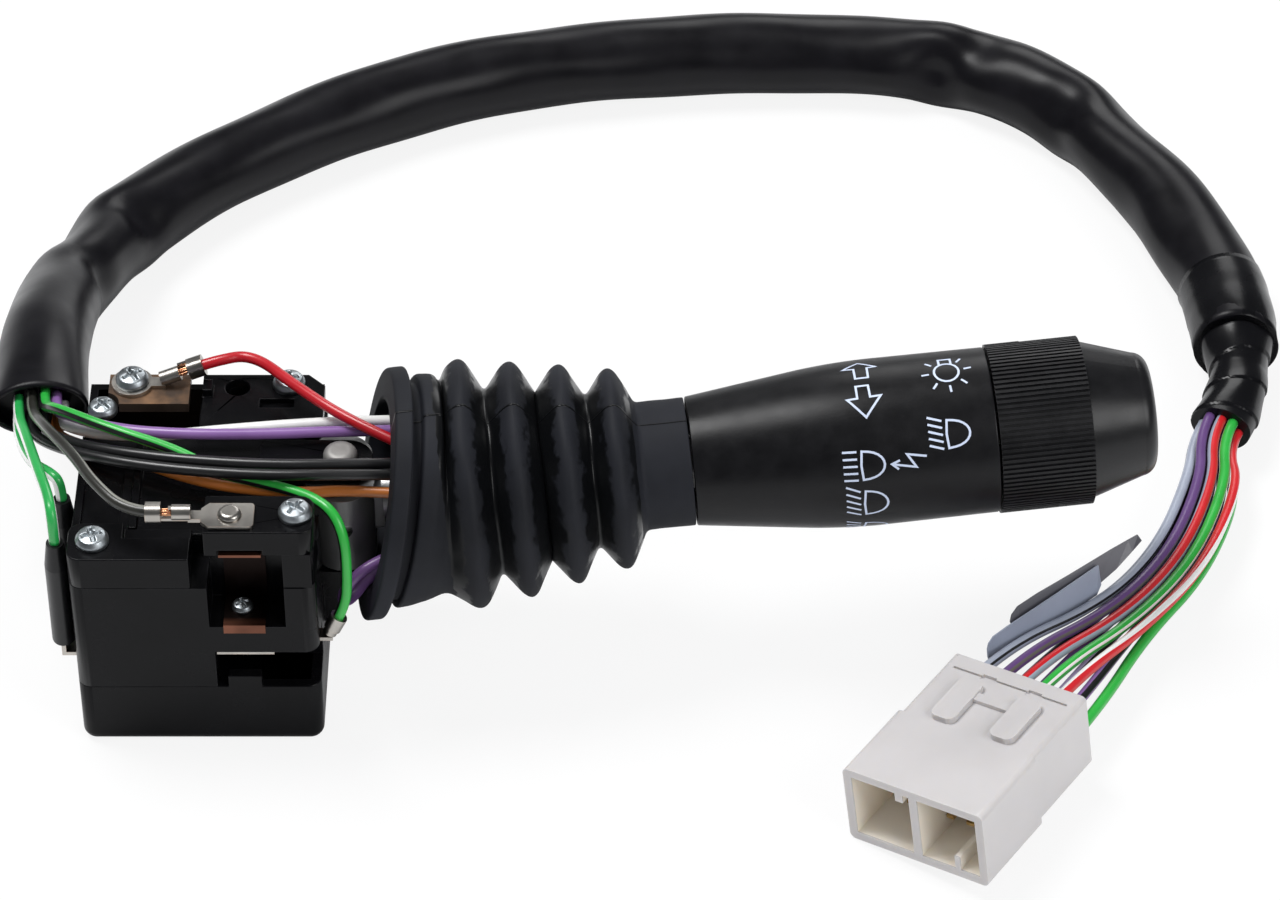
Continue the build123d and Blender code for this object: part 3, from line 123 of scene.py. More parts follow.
tree.links.new(maths(tree, "MULTIPLY", path.outputs["Is Camera Ray"], TABLE_GLOW), soft.inputs["Fac"])
tree.links.new(paint.outputs["BSDF"], soft.inputs[1])
tree.links.new(glow.outputs["Emission"], soft.inputs[2])
tree.links.new(soft.outputs["Shader"], tree.nodes["Material Output"].inputs["Surface"])
table.data.materials.append(white)


# Harness sleeve: a soft black plastic tube, drawn over the wires and cut square.
# It hangs from the block, creases where it meets the table and kinks at the far bend.
def new_piece(name, verts, faces, smooth=True):
    """A mesh object from plain lists, its vertices in metres in the shared frame."""
    mesh = bpy.data.meshes.new(name)
    mesh.from_pydata([tuple(v) for v in verts], [], faces)
    mesh.update()
    if smooth:
        mesh.polygons.foreach_set("use_smooth", [True] * len(mesh.polygons))
    piece = bpy.data.objects.new(name, mesh)
    studio.collection.objects.link(piece)
    return piece


def centre_line(points):
    """The smooth line of a cord: a NURBS spline with the route's points as its control points."""
    curve = bpy.data.curves.new("route", "CURVE")
    curve.dimensions, curve.resolution_u = "3D", 14
    spline = curve.splines.new("NURBS")
    spline.points.add(len(points) - 1)
    for place, point in zip(spline.points, points):
        place.co = (*(MM * v for v in point), 1)
    spline.order_u = 3
    spline.use_endpoint_u = True
    holder = bpy.data.objects.new("route", curve)
    mesh = bpy.data.meshes.new_from_object(holder)
    line = [v.co.copy() for v in mesh.vertices]
    bpy.data.objects.remove(holder)
    bpy.data.curves.remove(curve)
    bpy.data.meshes.remove(mesh)
    return line


def tube(name, line, radius, sides=14, section=None, mouth=0.0, wall=0.0):
    """A closed tube along a line, all in metres. An open mouth goes in by mouth.

    section(run, turn) scales it across and up, run metres along it and turn radians round it.
    """
    run, here = [0.0], 0.0
    for a, b in zip(line, line[1:]):
        here += (b - a).length
        run.append(here)
    ways = [(line[min(k + 1, len(line) - 1)] - line[max(k - 1, 0)]).normalized() for k in range(len(line))]
    rise = Vector((0, 0, 1))
    rise = (rise - ways[0] * ways[0].dot(rise)).normalized()
    frames = []
    for k, way in enumerate(ways):
        if k:
            rise = ways[k - 1].rotation_difference(way) @ rise
        rise = (rise - way * way.dot(rise)).normalized()
        frames.append((line[k], way.cross(rise).normalized(), rise.copy()))

    def ring(k, shrink=0.0):
        at, side, rise = frames[k]
        out = []
        for j in range(sides):
            turn = 2 * math.pi * j / sides
            across, tall = section(run[k], turn) if section else (1.0, 1.0)
            wide, high = radius * across - shrink, radius * tall - shrink
            out.append(at + side * (math.cos(turn) * wide) + rise * (math.sin(turn) * high))
        return out

    rings = [ring(k) for k in range(len(line))]
    if mouth:
        inside = [k for k in range(len(line)) if run[k] <= mouth]
        rings = [ring(k, wall) for k in reversed(inside)] + rings
    verts = [v for r in rings for v in r]
    faces = []
    for k in range(len(rings) - 1):
        for j in range(sides):
            n = (j + 1) % sides
            faces.append((k * sides + j, k * sides + n, (k + 1) * sides + n, (k + 1) * sides + j))
    faces.append(tuple(reversed(range(sides))))
    faces.append(tuple(range(len(verts) - sides, len(verts))))
    piece = new_piece(name, verts, faces)
    piece.data.polygons[-1].use_smooth = piece.data.polygons[-2].use_smooth = False
    # along and around, for stripes and windings
    chart = piece.data.uv_layers.new(name="along_around")
    skip = len(rings) - len(line)
    for face in piece.data.polygons:
        wrap = any(piece.data.loops[i].vertex_index % sides == sides - 1 for i in face.loop_indices)
        for i in face.loop_indices:
            v = piece.data.loops[i].vertex_index
            k, j = v // sides, v % sides
            around = 1.0 if wrap and j == 0 else j / sides
            chart.data[i].uv = (run[max(k - skip, 0)] * 100, around)
    return piece


def cloud(tree, scale, detail, rough=0.5):
    """Noise over the object's own space."""
    place = tree.nodes.new("ShaderNodeTexCoord")
    tex = tree.nodes.new("ShaderNodeTexNoise")
    for key, value in (("Scale", scale), ("Detail", detail), ("Roughness", rough)):
        tex.inputs[key].default_value = value
    tree.links.new(place.outputs["Object"], tex.inputs["Vector"])
    return tex.outputs["Fac"]


def spread(tree, source, low, high, to_low, to_high):
    """A clamped remap."""
    remap = tree.nodes.new("ShaderNodeMapRange")
    for key, value in (("From Min", low), ("From Max", high), ("To Min", to_low), ("To Max", to_high)):
        remap.inputs[key].default_value = value
    tree.links.new(source, remap.inputs["Value"])
    return remap.outputs["Result"]


def blend(tree, factor, first, second):
    """A colour mix; each side is a socket or a plain colour."""
    mix = tree.nodes.new("ShaderNodeMix")
    mix.data_type = "RGBA"
    tree.links.new(factor, mix.inputs[0])
    for socket, value in ((6, first), (7, second)):
        if isinstance(value, tuple):
            mix.inputs[socket].default_value = (*value, 1)
        else:
            tree.links.new(value, mix.inputs[socket])
    return mix.outputs[2]


def finish(name, colour, rough, metal=0.0, tint=0.10, grain=700.0, bump=0.08, depth=0.00015, dust=0.0,
           dust_colour=(0.22, 0.21, 0.20), worn=None, edge=0.0004, gleam=0.5, coat=0.0, rough_span=0.08):
    """A surface with wandering colour and gloss, a fine grain, dust on what faces up and wear along its edges.

    depth is the grain's height and edge the width of the wear, in metres.
    """
    stuff = bpy.data.materials.new(name)
    stuff.use_nodes = True
    tree = stuff.node_tree
    shader = tree.nodes["Principled BSDF"]
    shader.inputs["Metallic"].default_value = metal
    shader.inputs["Specular IOR Level"].default_value = gleam
    shader.inputs["Coat Weight"].default_value = coat
    shader.inputs["Coat Roughness"].default_value = 0.25
    broad, fine = cloud(tree, grain * 0.12, 4), cloud(tree, grain, 3)
    darker, lighter = (tuple(min(1, c * (1 + way * tint)) for c in colour) for way in (-1, 1))
    shade = blend(tree, spread(tree, broad, 0.3, 0.7, 0, 1), darker, lighter)
    shape = tree.nodes.new("ShaderNodeNewGeometry")
    if dust:
        split = tree.nodes.new("ShaderNodeSeparateXYZ")
        tree.links.new(shape.outputs["Normal"], split.inputs[0])
        lying = spread(tree, split.outputs["Z"], 0.1, 1.0, 0, dust)
        patchy = spread(tree, cloud(tree, grain * 0.3, 6), 0.35, 0.75, 0.1, 1.0)
        shade = blend(tree, maths(tree, "MULTIPLY", lying, patchy), shade, dust_colour)
    if worn:
        round_edge = tree.nodes.new("ShaderNodeBevel")
        round_edge.inputs["Radius"].default_value = edge
        same = tree.nodes.new("ShaderNodeVectorMath")
        same.operation = "DOT_PRODUCT"
        tree.links.new(round_edge.outputs["Normal"], same.inputs[0])
        tree.links.new(shape.outputs["Normal"], same.inputs[1])
        sharp = spread(tree, same.outputs["Value"], 0.80, 0.97, 1, 0)
        patchy = spread(tree, cloud(tree, grain * 0.5, 5), 0.38, 0.68, 0, 0.9)
        shade = blend(tree, maths(tree, "MULTIPLY", sharp, patchy), shade, worn)
    tree.links.new(shade, shader.inputs["Base Color"])
    tree.links.new(spread(tree, broad, 0.25, 0.75, rough - rough_span, rough + rough_span), shader.inputs["Roughness"])
    relief = tree.nodes.new("ShaderNodeBump")
    relief.inputs["Strength"].default_value = bump
    relief.inputs["Distance"].default_value = depth
    tree.links.new(fine, relief.inputs["Height"])
    tree.links.new(relief.outputs["Normal"], shader.inputs["Normal"])
    return stuff


SLEEVE_R, SLEEVE_WALL, SLEEVE_OPEN = 8.75, 0.8, 4.5
SLEEVE_ROUTE = [
    (-31.5, 23.2, 39.6), (-33.0, 43.0, 35.0), (-34.0, 65.0, 26.6), (-32.4, 90.0, 15.6), (-25.6, 112.0, 9.8),
    (-12.0, 129.5, 8.9), (5.0, 143.0, SLEEVE_R), (26.0, 156.5, SLEEVE_R), (50.0, 166.6, SLEEVE_R),
    (77.0, 172.2, SLEEVE_R), (104.0, 174.6, SLEEVE_R), (130.0, 174.2, SLEEVE_R), (151.0, 170.4, SLEEVE_R),
    (167.4, 161.4, SLEEVE_R), (180.0, 146.6, SLEEVE_R), (189.4, 129.4, SLEEVE_R), (197.0, 110.6, SLEEVE_R),
    (202.8, 92.0, SLEEVE_R), (202.8, 77.0, SLEEVE_R),
]
# run in metres, side of the dent in degrees, length, depth
DENTS = (
    (0.064, 15, 0.0060, 0.30), (0.078, 150, 0.0110, 0.22), (0.094, 40, 0.0050, 0.24), (0.120, 95, 0.0200, 0.10),
    (0.262, 60, 0.0200, 0.12), (0.288, 5, 0.0065, 0.42), (0.296, 75, 0.0050, 0.16), (0.322, 30, 0.0060, 0.30),
    (0.334, 120, 0.0120, 0.16), (0.352, 10, 0.0090, 0.14), (0.372, 70, 0.0120, 0.10),
)
DENT_SWELL = 0.22


def sleeve_section(run, turn):
    """Flat at the cut mouth, full along the table, and dented where the tube folds."""
    flat = max(0.0, 1 - run / 0.030) ** 1.5
    across, tall = 1 + 0.10 * flat, 1 - 0.36 * flat
    press = 0.0
    for at, side, long, deep in DENTS:
        away = turn - math.radians(side)
        near = deep * math.exp(-(((run - at) / long) ** 2))
        press += near * (max(0.0, math.cos(away)) ** 3 - DENT_SWELL * max(0.0, -math.cos(2 * away)))
    wander = 0.018 * math.sin(run * 95 + 2 * turn) + 0.012 * math.sin(run * 210 + 3 * turn + 1)
    scale = 1 - press + wander * (1 - flat) - 0.02
    return across * scale, tall * scale


sleeve_line = centre_line(SLEEVE_ROUTE)
dense = []
for a, b in zip(sleeve_line, sleeve_line[1:]):
    steps = max(1, round((b - a).length / 0.0016))
    dense += [a.lerp(b, k / steps) for k in range(steps)]
dense.append(sleeve_line[-1])
sleeve = tube("harness_sleeve_skin", dense, SLEEVE_R * MM, 48, sleeve_section, SLEEVE_OPEN * MM, SLEEVE_WALL * MM)
for v in sleeve.data.vertices:
    v.co.z = max(v.co.z, 0.0)
sleeve.data.materials.append(finish(
    "sleeve_plastic", (0.0046, 0.0043, 0.0058), 0.34, gleam=0.17, grain=900, bump=0.05, tint=0.25, rough_span=0.06,
    dust=0.06, dust_colour=(0.05, 0.05, 0.055)))
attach(sleeve, "root")
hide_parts("harness_sleeve")

# Tape: glossy black tape, wound over the sleeve's end and down onto the wires.
# Each turn shows as a low step, and its last turns sit loose and puckered.
TAPE_ROUTE = [(202.8, 77.0, SLEEVE_R), (202.8, 69.0, SLEEVE_R), (201.0, 60.0, SLEEVE_R), (197.6, 52.5, SLEEVE_R)]
TAPE_R, CUFF_R = 5.75, 8.80


def tape_section(run, turn):
    """Spiral steps of the tape, wider where it comes off the sleeve."""
    wound = (run / 0.0085 + turn / (2 * math.pi)) % 1.0
    neck = max(0.0, 1 - run / 0.009) ** 1.4
    scale = 0.90 + 0.055 * wound + 0.34 * neck * (1 + 0.10 * math.sin(5 * turn))
    scale += 0.02 * math.sin(3 * turn + run * 500)
    press = min(1, run / 0.02)
    return scale * (1.03 + 0.12 * press), scale * (1.0 - 0.04 * press)


tape_line = centre_line(TAPE_ROUTE)
fine_line = [a.lerp(b, k / 4) for a, b in zip(tape_line, tape_line[1:]) for k in range(4)] + [tape_line[-1]]
tape = tube("tape_winding", fine_line, TAPE_R * MM, 40, tape_section)
tape_stuff = finish("black_tape", (0.004, 0.004, 0.005), 0.26, gleam=0.22, grain=500, bump=0.10, tint=0.3)
tape.data.materials.append(tape_stuff)
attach(tape, "root")
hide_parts("tape_wrap")


def cuff_section(run, turn):
    """Tape over the sleeve's last stretch, with its edges puckered."""
    wound = (run / 0.0095 + turn / (2 * math.pi)) % 1.0
    pucker = 0.03 * math.sin(7 * turn + 2) * max(0.0, (run - 0.014) / 0.006)
    scale = 1.0 + 0.018 * wound + pucker - 0.05 * max(0.0, (run - 0.012) / 0.008)
    return scale, scale


# the sleeve's last stretch: right of and in front of these, in metres
CUFF_LEFT, CUFF_BACK = 0.19, 0.0965
cuff_line = [p for p in dense if p.x > CUFF_LEFT and p.y < CUFF_BACK]
cuff = tube("tape_cuff", cuff_line, CUFF_R * MM, 48, cuff_section)
cuff.data.materials.append(tape_stuff)
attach(cuff, "root")

# Wires over the block: stranded copper in soft plastic, some with a colour stripe.
# They fan from the sleeve's mouth to the terminals or straight on into the boot.
into = (Vector(SLEEVE_ROUTE[1]) - Vector(SLEEVE_ROUTE[0])).normalized()
mouth_left = Vector((-into.y, into.x, 0)).normalized()
mouth_up = into.cross(mouth_left)


def leave(across, up):
    """Start of a wire: inside the sleeve's mouth, then straight out of it."""
    base = Vector(SLEEVE_ROUTE[0]) - mouth_left * across + mouth_up * up
    return [tuple(base + into * depth) for depth in (3.0, -4.0)]


WIRE_R = 1.05
COLOURS = {
    "purple": (0.235, 0.115, 0.335), "violet": (0.120, 0.056, 0.190), "lilac": (0.30, 0.25, 0.40),
    "red": (0.46, 0.006, 0.014), "bright_red": (0.58, 0.014, 0.020), "orange": (0.50, 0.15, 0.025),
    "green": (0.025, 0.40, 0.050), "mint": (0.02, 0.36, 0.075), "olive": (0.022, 0.022, 0.018),
    "white": (0.78, 0.78, 0.76), "silver": (0.20, 0.20, 0.175), "slate": (0.33, 0.36, 0.44),
    "grey": (0.11, 0.105, 0.095), "black": (0.010, 0.010, 0.011),
}
insulation = {}


def recolour(stuff, factor, colour):
    """Lays a plain colour over a finish where factor is 1."""
    base = stuff.node_tree.nodes["Principled BSDF"].inputs["Base Color"]
    stuff.node_tree.links.new(blend(stuff.node_tree, factor, base.links[0].from_socket, colour), base)


def skin(base, stripe=None, width=0.0, twist=0.0):
    """Soft wire insulation: one colour, or with two stripes printed along it, each width wide as a share of a turn."""
    key = f"insulation_{base}" + (f"_{stripe}" if stripe else "")
    if key in insulation:
        return insulation[key]
    stuff = finish(key, COLOURS[base], 0.34, grain=1500, bump=0.04, tint=0.07, rough_span=0.05, coat=0.15)
    if stripe:
        tree = stuff.node_tree
        chart = tree.nodes.new("ShaderNodeUVMap")
        chart.uv_map = "along_around"
        split = tree.nodes.new("ShaderNodeSeparateXYZ")
        tree.links.new(chart.outputs["UV"], split.inputs[0])
        turn = maths(tree, "MULTIPLY_ADD", split.outputs["X"], twist, split.outputs["Y"])
        part = maths(tree, "FRACT", maths(tree, "MULTIPLY", turn, 2.0))
        recolour(stuff, maths(tree, "LESS_THAN", part, 2 * width), COLOURS[stripe])
    insulation[key] = stuff
    return stuff


def wire(name, node, points, look):
    """One wire of the harness as a tube through points."""
    line = centre_line(points)
    piece = tube(name, line, WIRE_R * MM, 14)
    piece.data.materials.append(look)
    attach(piece, "root")
    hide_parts(node)


SHRINK_X = -24.4
RIVET_WIRE = [(-10.4, -22.0, 54.85), (-4.2, -22.0, 54.85)]
ring_at, ring_dir = Vector((-7.8, 23.2, 47.3)), Vector((0.94, 0.13, 0.31)).normalized()
RING_WIRE = [tuple(ring_at + ring_dir * out) for out in (6.0, 11.0)]
tab_at, tab_dir = Vector((25.0, -20.8, 23.5)), Vector((0.45, 0.1, 0.88)).normalized()
TAB_WIRE = [tuple(tab_at + tab_dir * out) for out in (7.0, 1.6)]
wire("wire_purple_top", "wire_purple", [
    *leave(3.4, 1.6), (-25.2, 13.2, 47.4), (-15.6, 6.9, 49.2), (-2.9, 4.7, 49.9), (12.0, 4.9, 49.7),
    (27.7, 5.8, 49.7), (38.4, 7.0, 48.8),
], skin("purple"))
wire("wire_purple_loop", "wire_purple", [
    (38.0, -9.8, 33.5), (33.0, -12.6, 33.5), (28.6, -14.6, 30.4), (26.8, -14.4, 25.6), (28.4, -12.0, 23.0),
    (32.4, -8.0, 26.6), (38.0, -6.6, 29.0),
], skin("purple"))
wire("wire_white_top", "wire_white", [
    *leave(4.6, -0.6), (-25.0, 13.6, 43.8), (-18.6, 8.4, 46.4), (-7.0, 7.6, 46.8), (8.0, 8.2, 48.2),
    (25.9, 9.0, 49.2), (37.6, 10.2, 48.4),
], skin("white"))
wire("wire_red_top", "wire_red", [
    *RING_WIRE, (9.5, 27.0, 50.2), (18.2, 15.4, 52.4), (28.4, 5.6, 52.6), (38.1, 1.2, 50.8),
], skin("red"))
wire("wire_black_rear", "wires_black", [
    *leave(0.9, -1.8), (-27.6, 11.0, 43.8), (-20.0, 2.8, 48.4), (-6.0, -2.6, 50.6), (12.6, -5.2, 51.2),
    (27.3, -4.8, 51.0), (38.2, -3.0, 49.6),
], skin("black"))
wire("wire_black_front", "wires_black", [
    *leave(-1.5, -1.4), (-30.2, 10.2, 43.6), (-22.0, 1.0, 48.4), (-7.4, -5.0, 50.4), (11.7, -7.6, 50.8),
    (26.4, -7.2, 50.6), (38.3, -5.4, 48.9),
], skin("black"))
wire("wire_green_long", "wire_green", [
    *leave(1.2, 2.6), (-27.0, 12.2, 50.0), (-15.5, 4.0, 51.8), (-3.0, 0.2, 50.0), (4.5, -4.2, 48.3),
    (12.0, -6.2, 47.9), (18.0, -8.2, 47.8), (23.0, -11.4, 48.4), (26.6, -14.8, 47.8), (28.4, -17.4, 43.5),
    (28.6, -19.0, 36.5), *TAB_WIRE,
], skin("green", "black", 0.14, 0.02))
wire("wire_orange_top", "wire_orange", [
    *leave(3.2, -2.8), (-26.2, 13.6, 41.0), (-21.4, 6.4, 45.6), (-12.0, 2.0, 46.2), (-2.0, -2.6, 45.8),
    (7.0, -5.3, 45.5), (19.8, -6.8, 45.6), (29.1, -7.0, 46.6), (38.3, -8.0, 46.6),
], skin("orange"))
wire("wire_grey_short", "wire_grey", [
    *leave(-1.2, 2.0), (-28.6, 8.0, 49.4), (-21.5, -5.0, 53.4), (-17.2, -14.2, 55.2), *RIVET_WIRE,
], skin("olive", "silver", 0.17, 0.05))
wire("wire_side_front", "wires_green_white", [
    *leave(-3.8, 1.2), (-32.0, 8.0, 46.4), (-28.2, -5.6, 50.0), (-25.6, -14.0, 51.8), (SHRINK_X, -19.5, 51.4),
    (SHRINK_X, -19.5, 45.0),
], skin("mint", "white", 0.15, 0.02))
wire("wire_side_rear", "wires_green_white", [
    *leave(-4.0, -1.4), (-33.2, 10.0, 42.0), (-30.2, 1.4, 45.4), (-26.2, -4.4, 48.4), (SHRINK_X, -6.0, 47.6),
    (SHRINK_X, -6.0, 43.5),
], skin("mint", "white", 0.15, 0.02))

# Wires to the connector: ten in soft plastic, held round by the tape and fanned into two rows.
# They lie on the table, so the fan stays flat and low.
tape_out = (Vector(TAPE_ROUTE[-1]) - Vector(TAPE_ROUTE[-2])).normalized()
fan_right = Vector((-tape_out.y, tape_out.x, 0)).normalized()
PLUG_TURN, PLUG_ROLL = math.radians(55.2), math.radians(8.5)
PLUG_LONG, WAY_PITCH, ROW_PITCH, ENTRY_DEEP = 37.4, 4.3, 6.0, 6.0
plug_x = Vector((math.cos(PLUG_TURN), math.sin(PLUG_TURN), 0))
plug_z = Vector((0, 0, math.cos(PLUG_ROLL))) + Vector((-plug_x.y, plug_x.x, 0)) * math.sin(PLUG_ROLL)
plug_y = plug_z.cross(plug_x)
PLUG_HALF_WIDE, PLUG_HALF_HIGH = 15.0, 8.4
plug_rise = PLUG_HALF_WIDE * math.sin(PLUG_ROLL) + PLUG_HALF_HIGH * math.cos(PLUG_ROLL)
plug_at = Vector((143.1, -42.9, plug_rise))
# a point in the middle of the fan, and the way across it there
FAN_STOPS = [
    ((194.8, 36.5, 8.0), (0.96, -0.28)), ((187.0, 15.6, 7.6), (0.87, -0.49)), ((174.4, -2.2, 8.6), (0.77, -0.64)),
]
LANE, ROW = 2.5, 1.35


def fan(start, row, way):
    """Route of one wire: its place in the tape, its lane in the fan and its way in the connector."""
    base = Vector(TAPE_ROUTE[-1]) + fan_right * start[0] + Vector((0, 0, start[1]))
    points = [tuple(base + tape_out * out) for out in (0.0, 6.0)]
    lane = LANE * (way if row > 0 else way - 1)
    for (x, y, z), (ax, ay) in FAN_STOPS:
        points.append((x + lane * ax, y + lane * ay, z + row * ROW))
    entry = plug_at - plug_y * (WAY_PITCH * (way - 0.5)) + plug_z * (row * ROW_PITCH / 2)
    for out in (9.0, -ENTRY_DEEP):
        points.append(tuple(entry + plug_x * (PLUG_LONG / 2 + out)))
    return points


for name, node, lane, look in (
    ("plug_wire_1", "plug_wires_grey", ((-3.6, 0.0), 1, -2), skin("slate", "black", 0.08, 0.02)),
    ("plug_wire_2", "plug_wire_black", ((-2.5, -2.2), -1, -1), skin("black")),
    ("plug_wire_3", "plug_wires_purple", ((-2.4, 2.3), 1, -1), skin("violet", "grey", 0.10, 0.02)),
    ("plug_wire_4", "plug_wires_purple", ((-1.2, 0.0), -1, 0), skin("violet")),
    ("plug_wire_5", "plug_wires_red", ((0.0, 2.4), 1, 0), skin("bright_red", "slate", 0.20, 0.02)),
    ("plug_wire_6", "plug_wires_grey", ((0.0, -2.4), -1, 1), skin("lilac", "black", 0.18, 0.03)),
    ("plug_wire_7", "plug_wires_green", ((1.2, -0.1), -1, 2), skin("purple", "black", 0.20, 0.03)),
    ("plug_wire_8", "plug_wires_green", ((2.4, 2.3), 1, 1), skin("green", "white", 0.08, 0.02)),
    ("plug_wire_9", "plug_wires_green", ((2.5, -2.2), -1, 3), skin("green")),
    ("plug_wire_10", "plug_wires_red", ((3.6, 0.1), 1, 2), skin("bright_red", "white", 0.18, 0.05)),
):
    wire(name, node, fan(*lane), look)

# Mouldings of the switch block: black glass-filled plastic, dull on top and glossy on the front.
# Dust lies on the tops and the edges are rubbed a little paler.
moulded = finish("black_moulding", (0.0024, 0.0024, 0.0030), 0.24, gleam=0.13, grain=650, bump=0.10, tint=0.3,
                 dust=0.10, dust_colour=(0.025, 0.025, 0.026), worn=(0.022, 0.022, 0.025))


def dress(stuff, *names, weld=False, edge=0.25):
    """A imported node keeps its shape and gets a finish, with its sharp edges eased if asked."""
    for name in names:
        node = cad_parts[name]
        node.data.materials.clear()
        node.data.materials.append(stuff)
        if weld:
            join = node.modifiers.new("join", "WELD")
            join.merge_threshold = 1e-6
            ease = node.modifiers.new("ease", "BEVEL")
            ease.width, ease.segments, ease.limit_method = edge * MM, 2, "ANGLE"
            ease.angle_limit, ease.harden_normals = math.radians(50), True


dress(moulded, "base_tray", "switch_case", "left_cover", "terminal_block", "middle_cover", "rear_plate", "pivot_bridge",
      weld=True)
dress(finish("inner_moulding", (0.02, 0.02, 0.021), 0.45), "slide_guides")

# Brown laminate: boards of pressed paper and resin that carry the contacts, stained and scratched.
# They are punched from sheet and held down by the screws and rivets that pass through them.
laminate = finish("brown_laminate", (0.030, 0.021, 0.016), 0.5, gleam=0.3, grain=900, bump=0.2, tint=0.45, dust=0.95,
                  dust_colour=(0.20, 0.105, 0.050))
dress(laminate, "terminal_board", "contact_board", "rotary_wafer")

# Copper and brass: stamped contacts, browned in the air and bright where rubbed.
# The fixed contacts are staked into their boards; the blades and pins are springy brass.
copper = finish("tarnished_copper", (0.42, 0.17, 0.10), 0.34, metal=1.0, grain=900, bump=0.15, tint=0.4,
                worn=(0.75, 0.45, 0.32))
brass = finish("spring_brass", (0.55, 0.38, 0.16), 0.30, metal=1.0, grain=900, bump=0.1, tint=0.2)
dress(copper, "fixed_contacts", "wafer_contacts")
dress(brass, "turn_blade", "dip_blade", "rotary_wiper", "connector_pins")

# Tinned terminals: copper stampings with a dull tin coat that has worn through in places.
# Each is crimped round its wire and screwed, riveted or pushed on to the block.
tinned = finish("worn_tin", (0.42, 0.40, 0.37), 0.34, metal=1.0, grain=800, bump=0.25, tint=0.3,
                worn=(0.50, 0.36, 0.27))
dress(tinned, "ring_terminal", "side_tabs", "rivet_terminal", "output_tab")

# Pocket contact: a bent copper strip, brown where it laps over the pocket's two front edges.
# Deeper in the pocket the copper is painted almost black, as painted shade.
aged_copper_shaded = finish("aged_copper_painted_shade", (0.17, 0.068, 0.042), 0.38, metal=0.9, grain=900, bump=0.15, tint=0.4)
# y of the front edge and of the painted shade behind it, in metres
FRONT_LAP, POCKET_SHADE = -0.0252, -0.0240
tree = aged_copper_shaded.node_tree
place = tree.nodes.new("ShaderNodeTexCoord")
split = tree.nodes.new("ShaderNodeSeparateXYZ")
tree.links.new(place.outputs["Object"], split.inputs[0])
# painted shade: the copper fades to near black deeper in the pocket
recolour(aged_copper_shaded, spread(tree, split.outputs["Y"], FRONT_LAP, POCKET_SHADE, 0, 1), (0.012, 0.007, 0.006))
dress(aged_copper_shaded, "pocket_contact")

# Swivel carrier and lever root: zinc die-castings, grey and slightly rough as cast.
# The carrier turns on the block's upright pivot, and the root rocks on the cross pin through it.
cast = finish("die_cast_zinc", (0.20, 0.20, 0.20), 0.45, metal=0.7, grain=600, bump=0.35, tint=0.2,
              worn=(0.36, 0.36, 0.36))
dress(cast, "swivel_carrier", "lever_root")

# Turned and drawn steel: pins, the detent, its spring and the tube inside the handle.
# The pins are pressed into the castings and the tube is pressed over the lever root.
steel = finish("plain_steel", (0.45, 0.45, 0.45), 0.3, metal=1.0, grain=1200, bump=0.06, tint=0.15)
dress(steel, "lower_pivot_pin", "cross_pin", "detent_plunger", "detent_spring", "lever_tube")

# Natural plastics: the slides, the detent cam and the knob's shaft are milky unpigmented mouldings.
# The slides run in guides under the contact board, and the shaft turns inside the tube.
natural = finish("natural_plastic", (0.62, 0.60, 0.54), 0.4, grain=500, bump=0.05, tint=0.06)
dress(natural, "turn_slide", "dip_slide", "detent_cam", "knob_shaft")

# Shrink sleeves: soft black tubes over the two spade terminals at the left wall.
# Heat has drawn them tight over the crimps.
dress(finish("soft_sleeve", (0.007, 0.007, 0.008), 0.32, gleam=0.35, grain=500, bump=0.15, tint=0.3), "shrink_sleeves")

# Marker flag: a thin film label folded round the outer wire of the bundle.
# Its light face stands in front and its darker back peeks out above it; the film springs a little open.
FLAG_AT, FILM = Vector((159.2, -4.6, 0)), 0.28
flag_along, flag_out = Vector((0.813, 0.58, 0)), Vector((-0.58, 0.813, 0))
# along, low edge, high edge, distance out, lean of the high edge
face_stations = [
    (-14.4, 9.9, 11.8, -0.9, 0.3), (-14.1, 8.9, 13.0, -0.9, 0.4), (-12.9, 8.6, 14.0, -0.9, 0.6),
    (-9.0, 8.7, 14.6, -0.8, 0.7), (-3.0, 8.8, 15.0, -0.5, 0.8), (3.0, 8.9, 15.3, -0.1, 0.9),
    (8.0, 9.0, 15.4, 0.4, 1.0), (13.6, 9.3, 15.5, 0.9, 1.2), (14.6, 11.4, 15.5, 1.0, 1.2),
]
back_stations = [
    (-7.4, 12.6, 13.4, 0.2, 1.2), (-6.8, 11.0, 14.6, 0.2, 1.6), (-5.0, 10.0, 15.4, 0.3, 2.0),
    (0.0, 10.0, 15.8, 0.6, 2.0), (8.0, 10.4, 16.0, 1.0, 1.9), (14.0, 11.0, 16.2, 1.5, 1.7),
    (19.0, 12.4, 16.3, 1.9, 1.6), (23.0, 14.6, 16.4, 2.2, 1.4), (25.4, 16.0, 16.5, 2.4, 1.2),
]
for name, colour, stations in (
    ("flag_face", (0.36, 0.40, 0.50), face_stations), ("flag_back", (0.15, 0.15, 0.17), back_stations),
):
    verts = []
    for thick in (0.0, FILM):
        for along, low, high, out, lean in stations:
            for tall, far in ((low, out), (high, out + lean)):
                spot = FLAG_AT + flag_along * along + flag_out * (far + thick)
                verts.append((MM * spot.x, MM * spot.y, MM * tall))
    half = 2 * len(stations)
    faces = [(0, 1, half + 1, half), (half - 2, 2 * half - 2, 2 * half - 1, half - 1)]
    for k in range(0, half - 2, 2):
        faces += [
            (k, k + 2, k + 3, k + 1), (half + k, half + k + 1, half + k + 3, half + k + 2),
            (k, half + k, half + k + 2, k + 2), (k + 1, k + 3, half + k + 3, half + k + 1),
        ]
    film = new_piece(name, verts, faces, smooth=False)
    film.data.materials.append(finish(name + "_film", colour, 0.35, grain=300, bump=0.08, tint=0.12))
    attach(film, "root")
    if name == "flag_face":
        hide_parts("marker_flag")
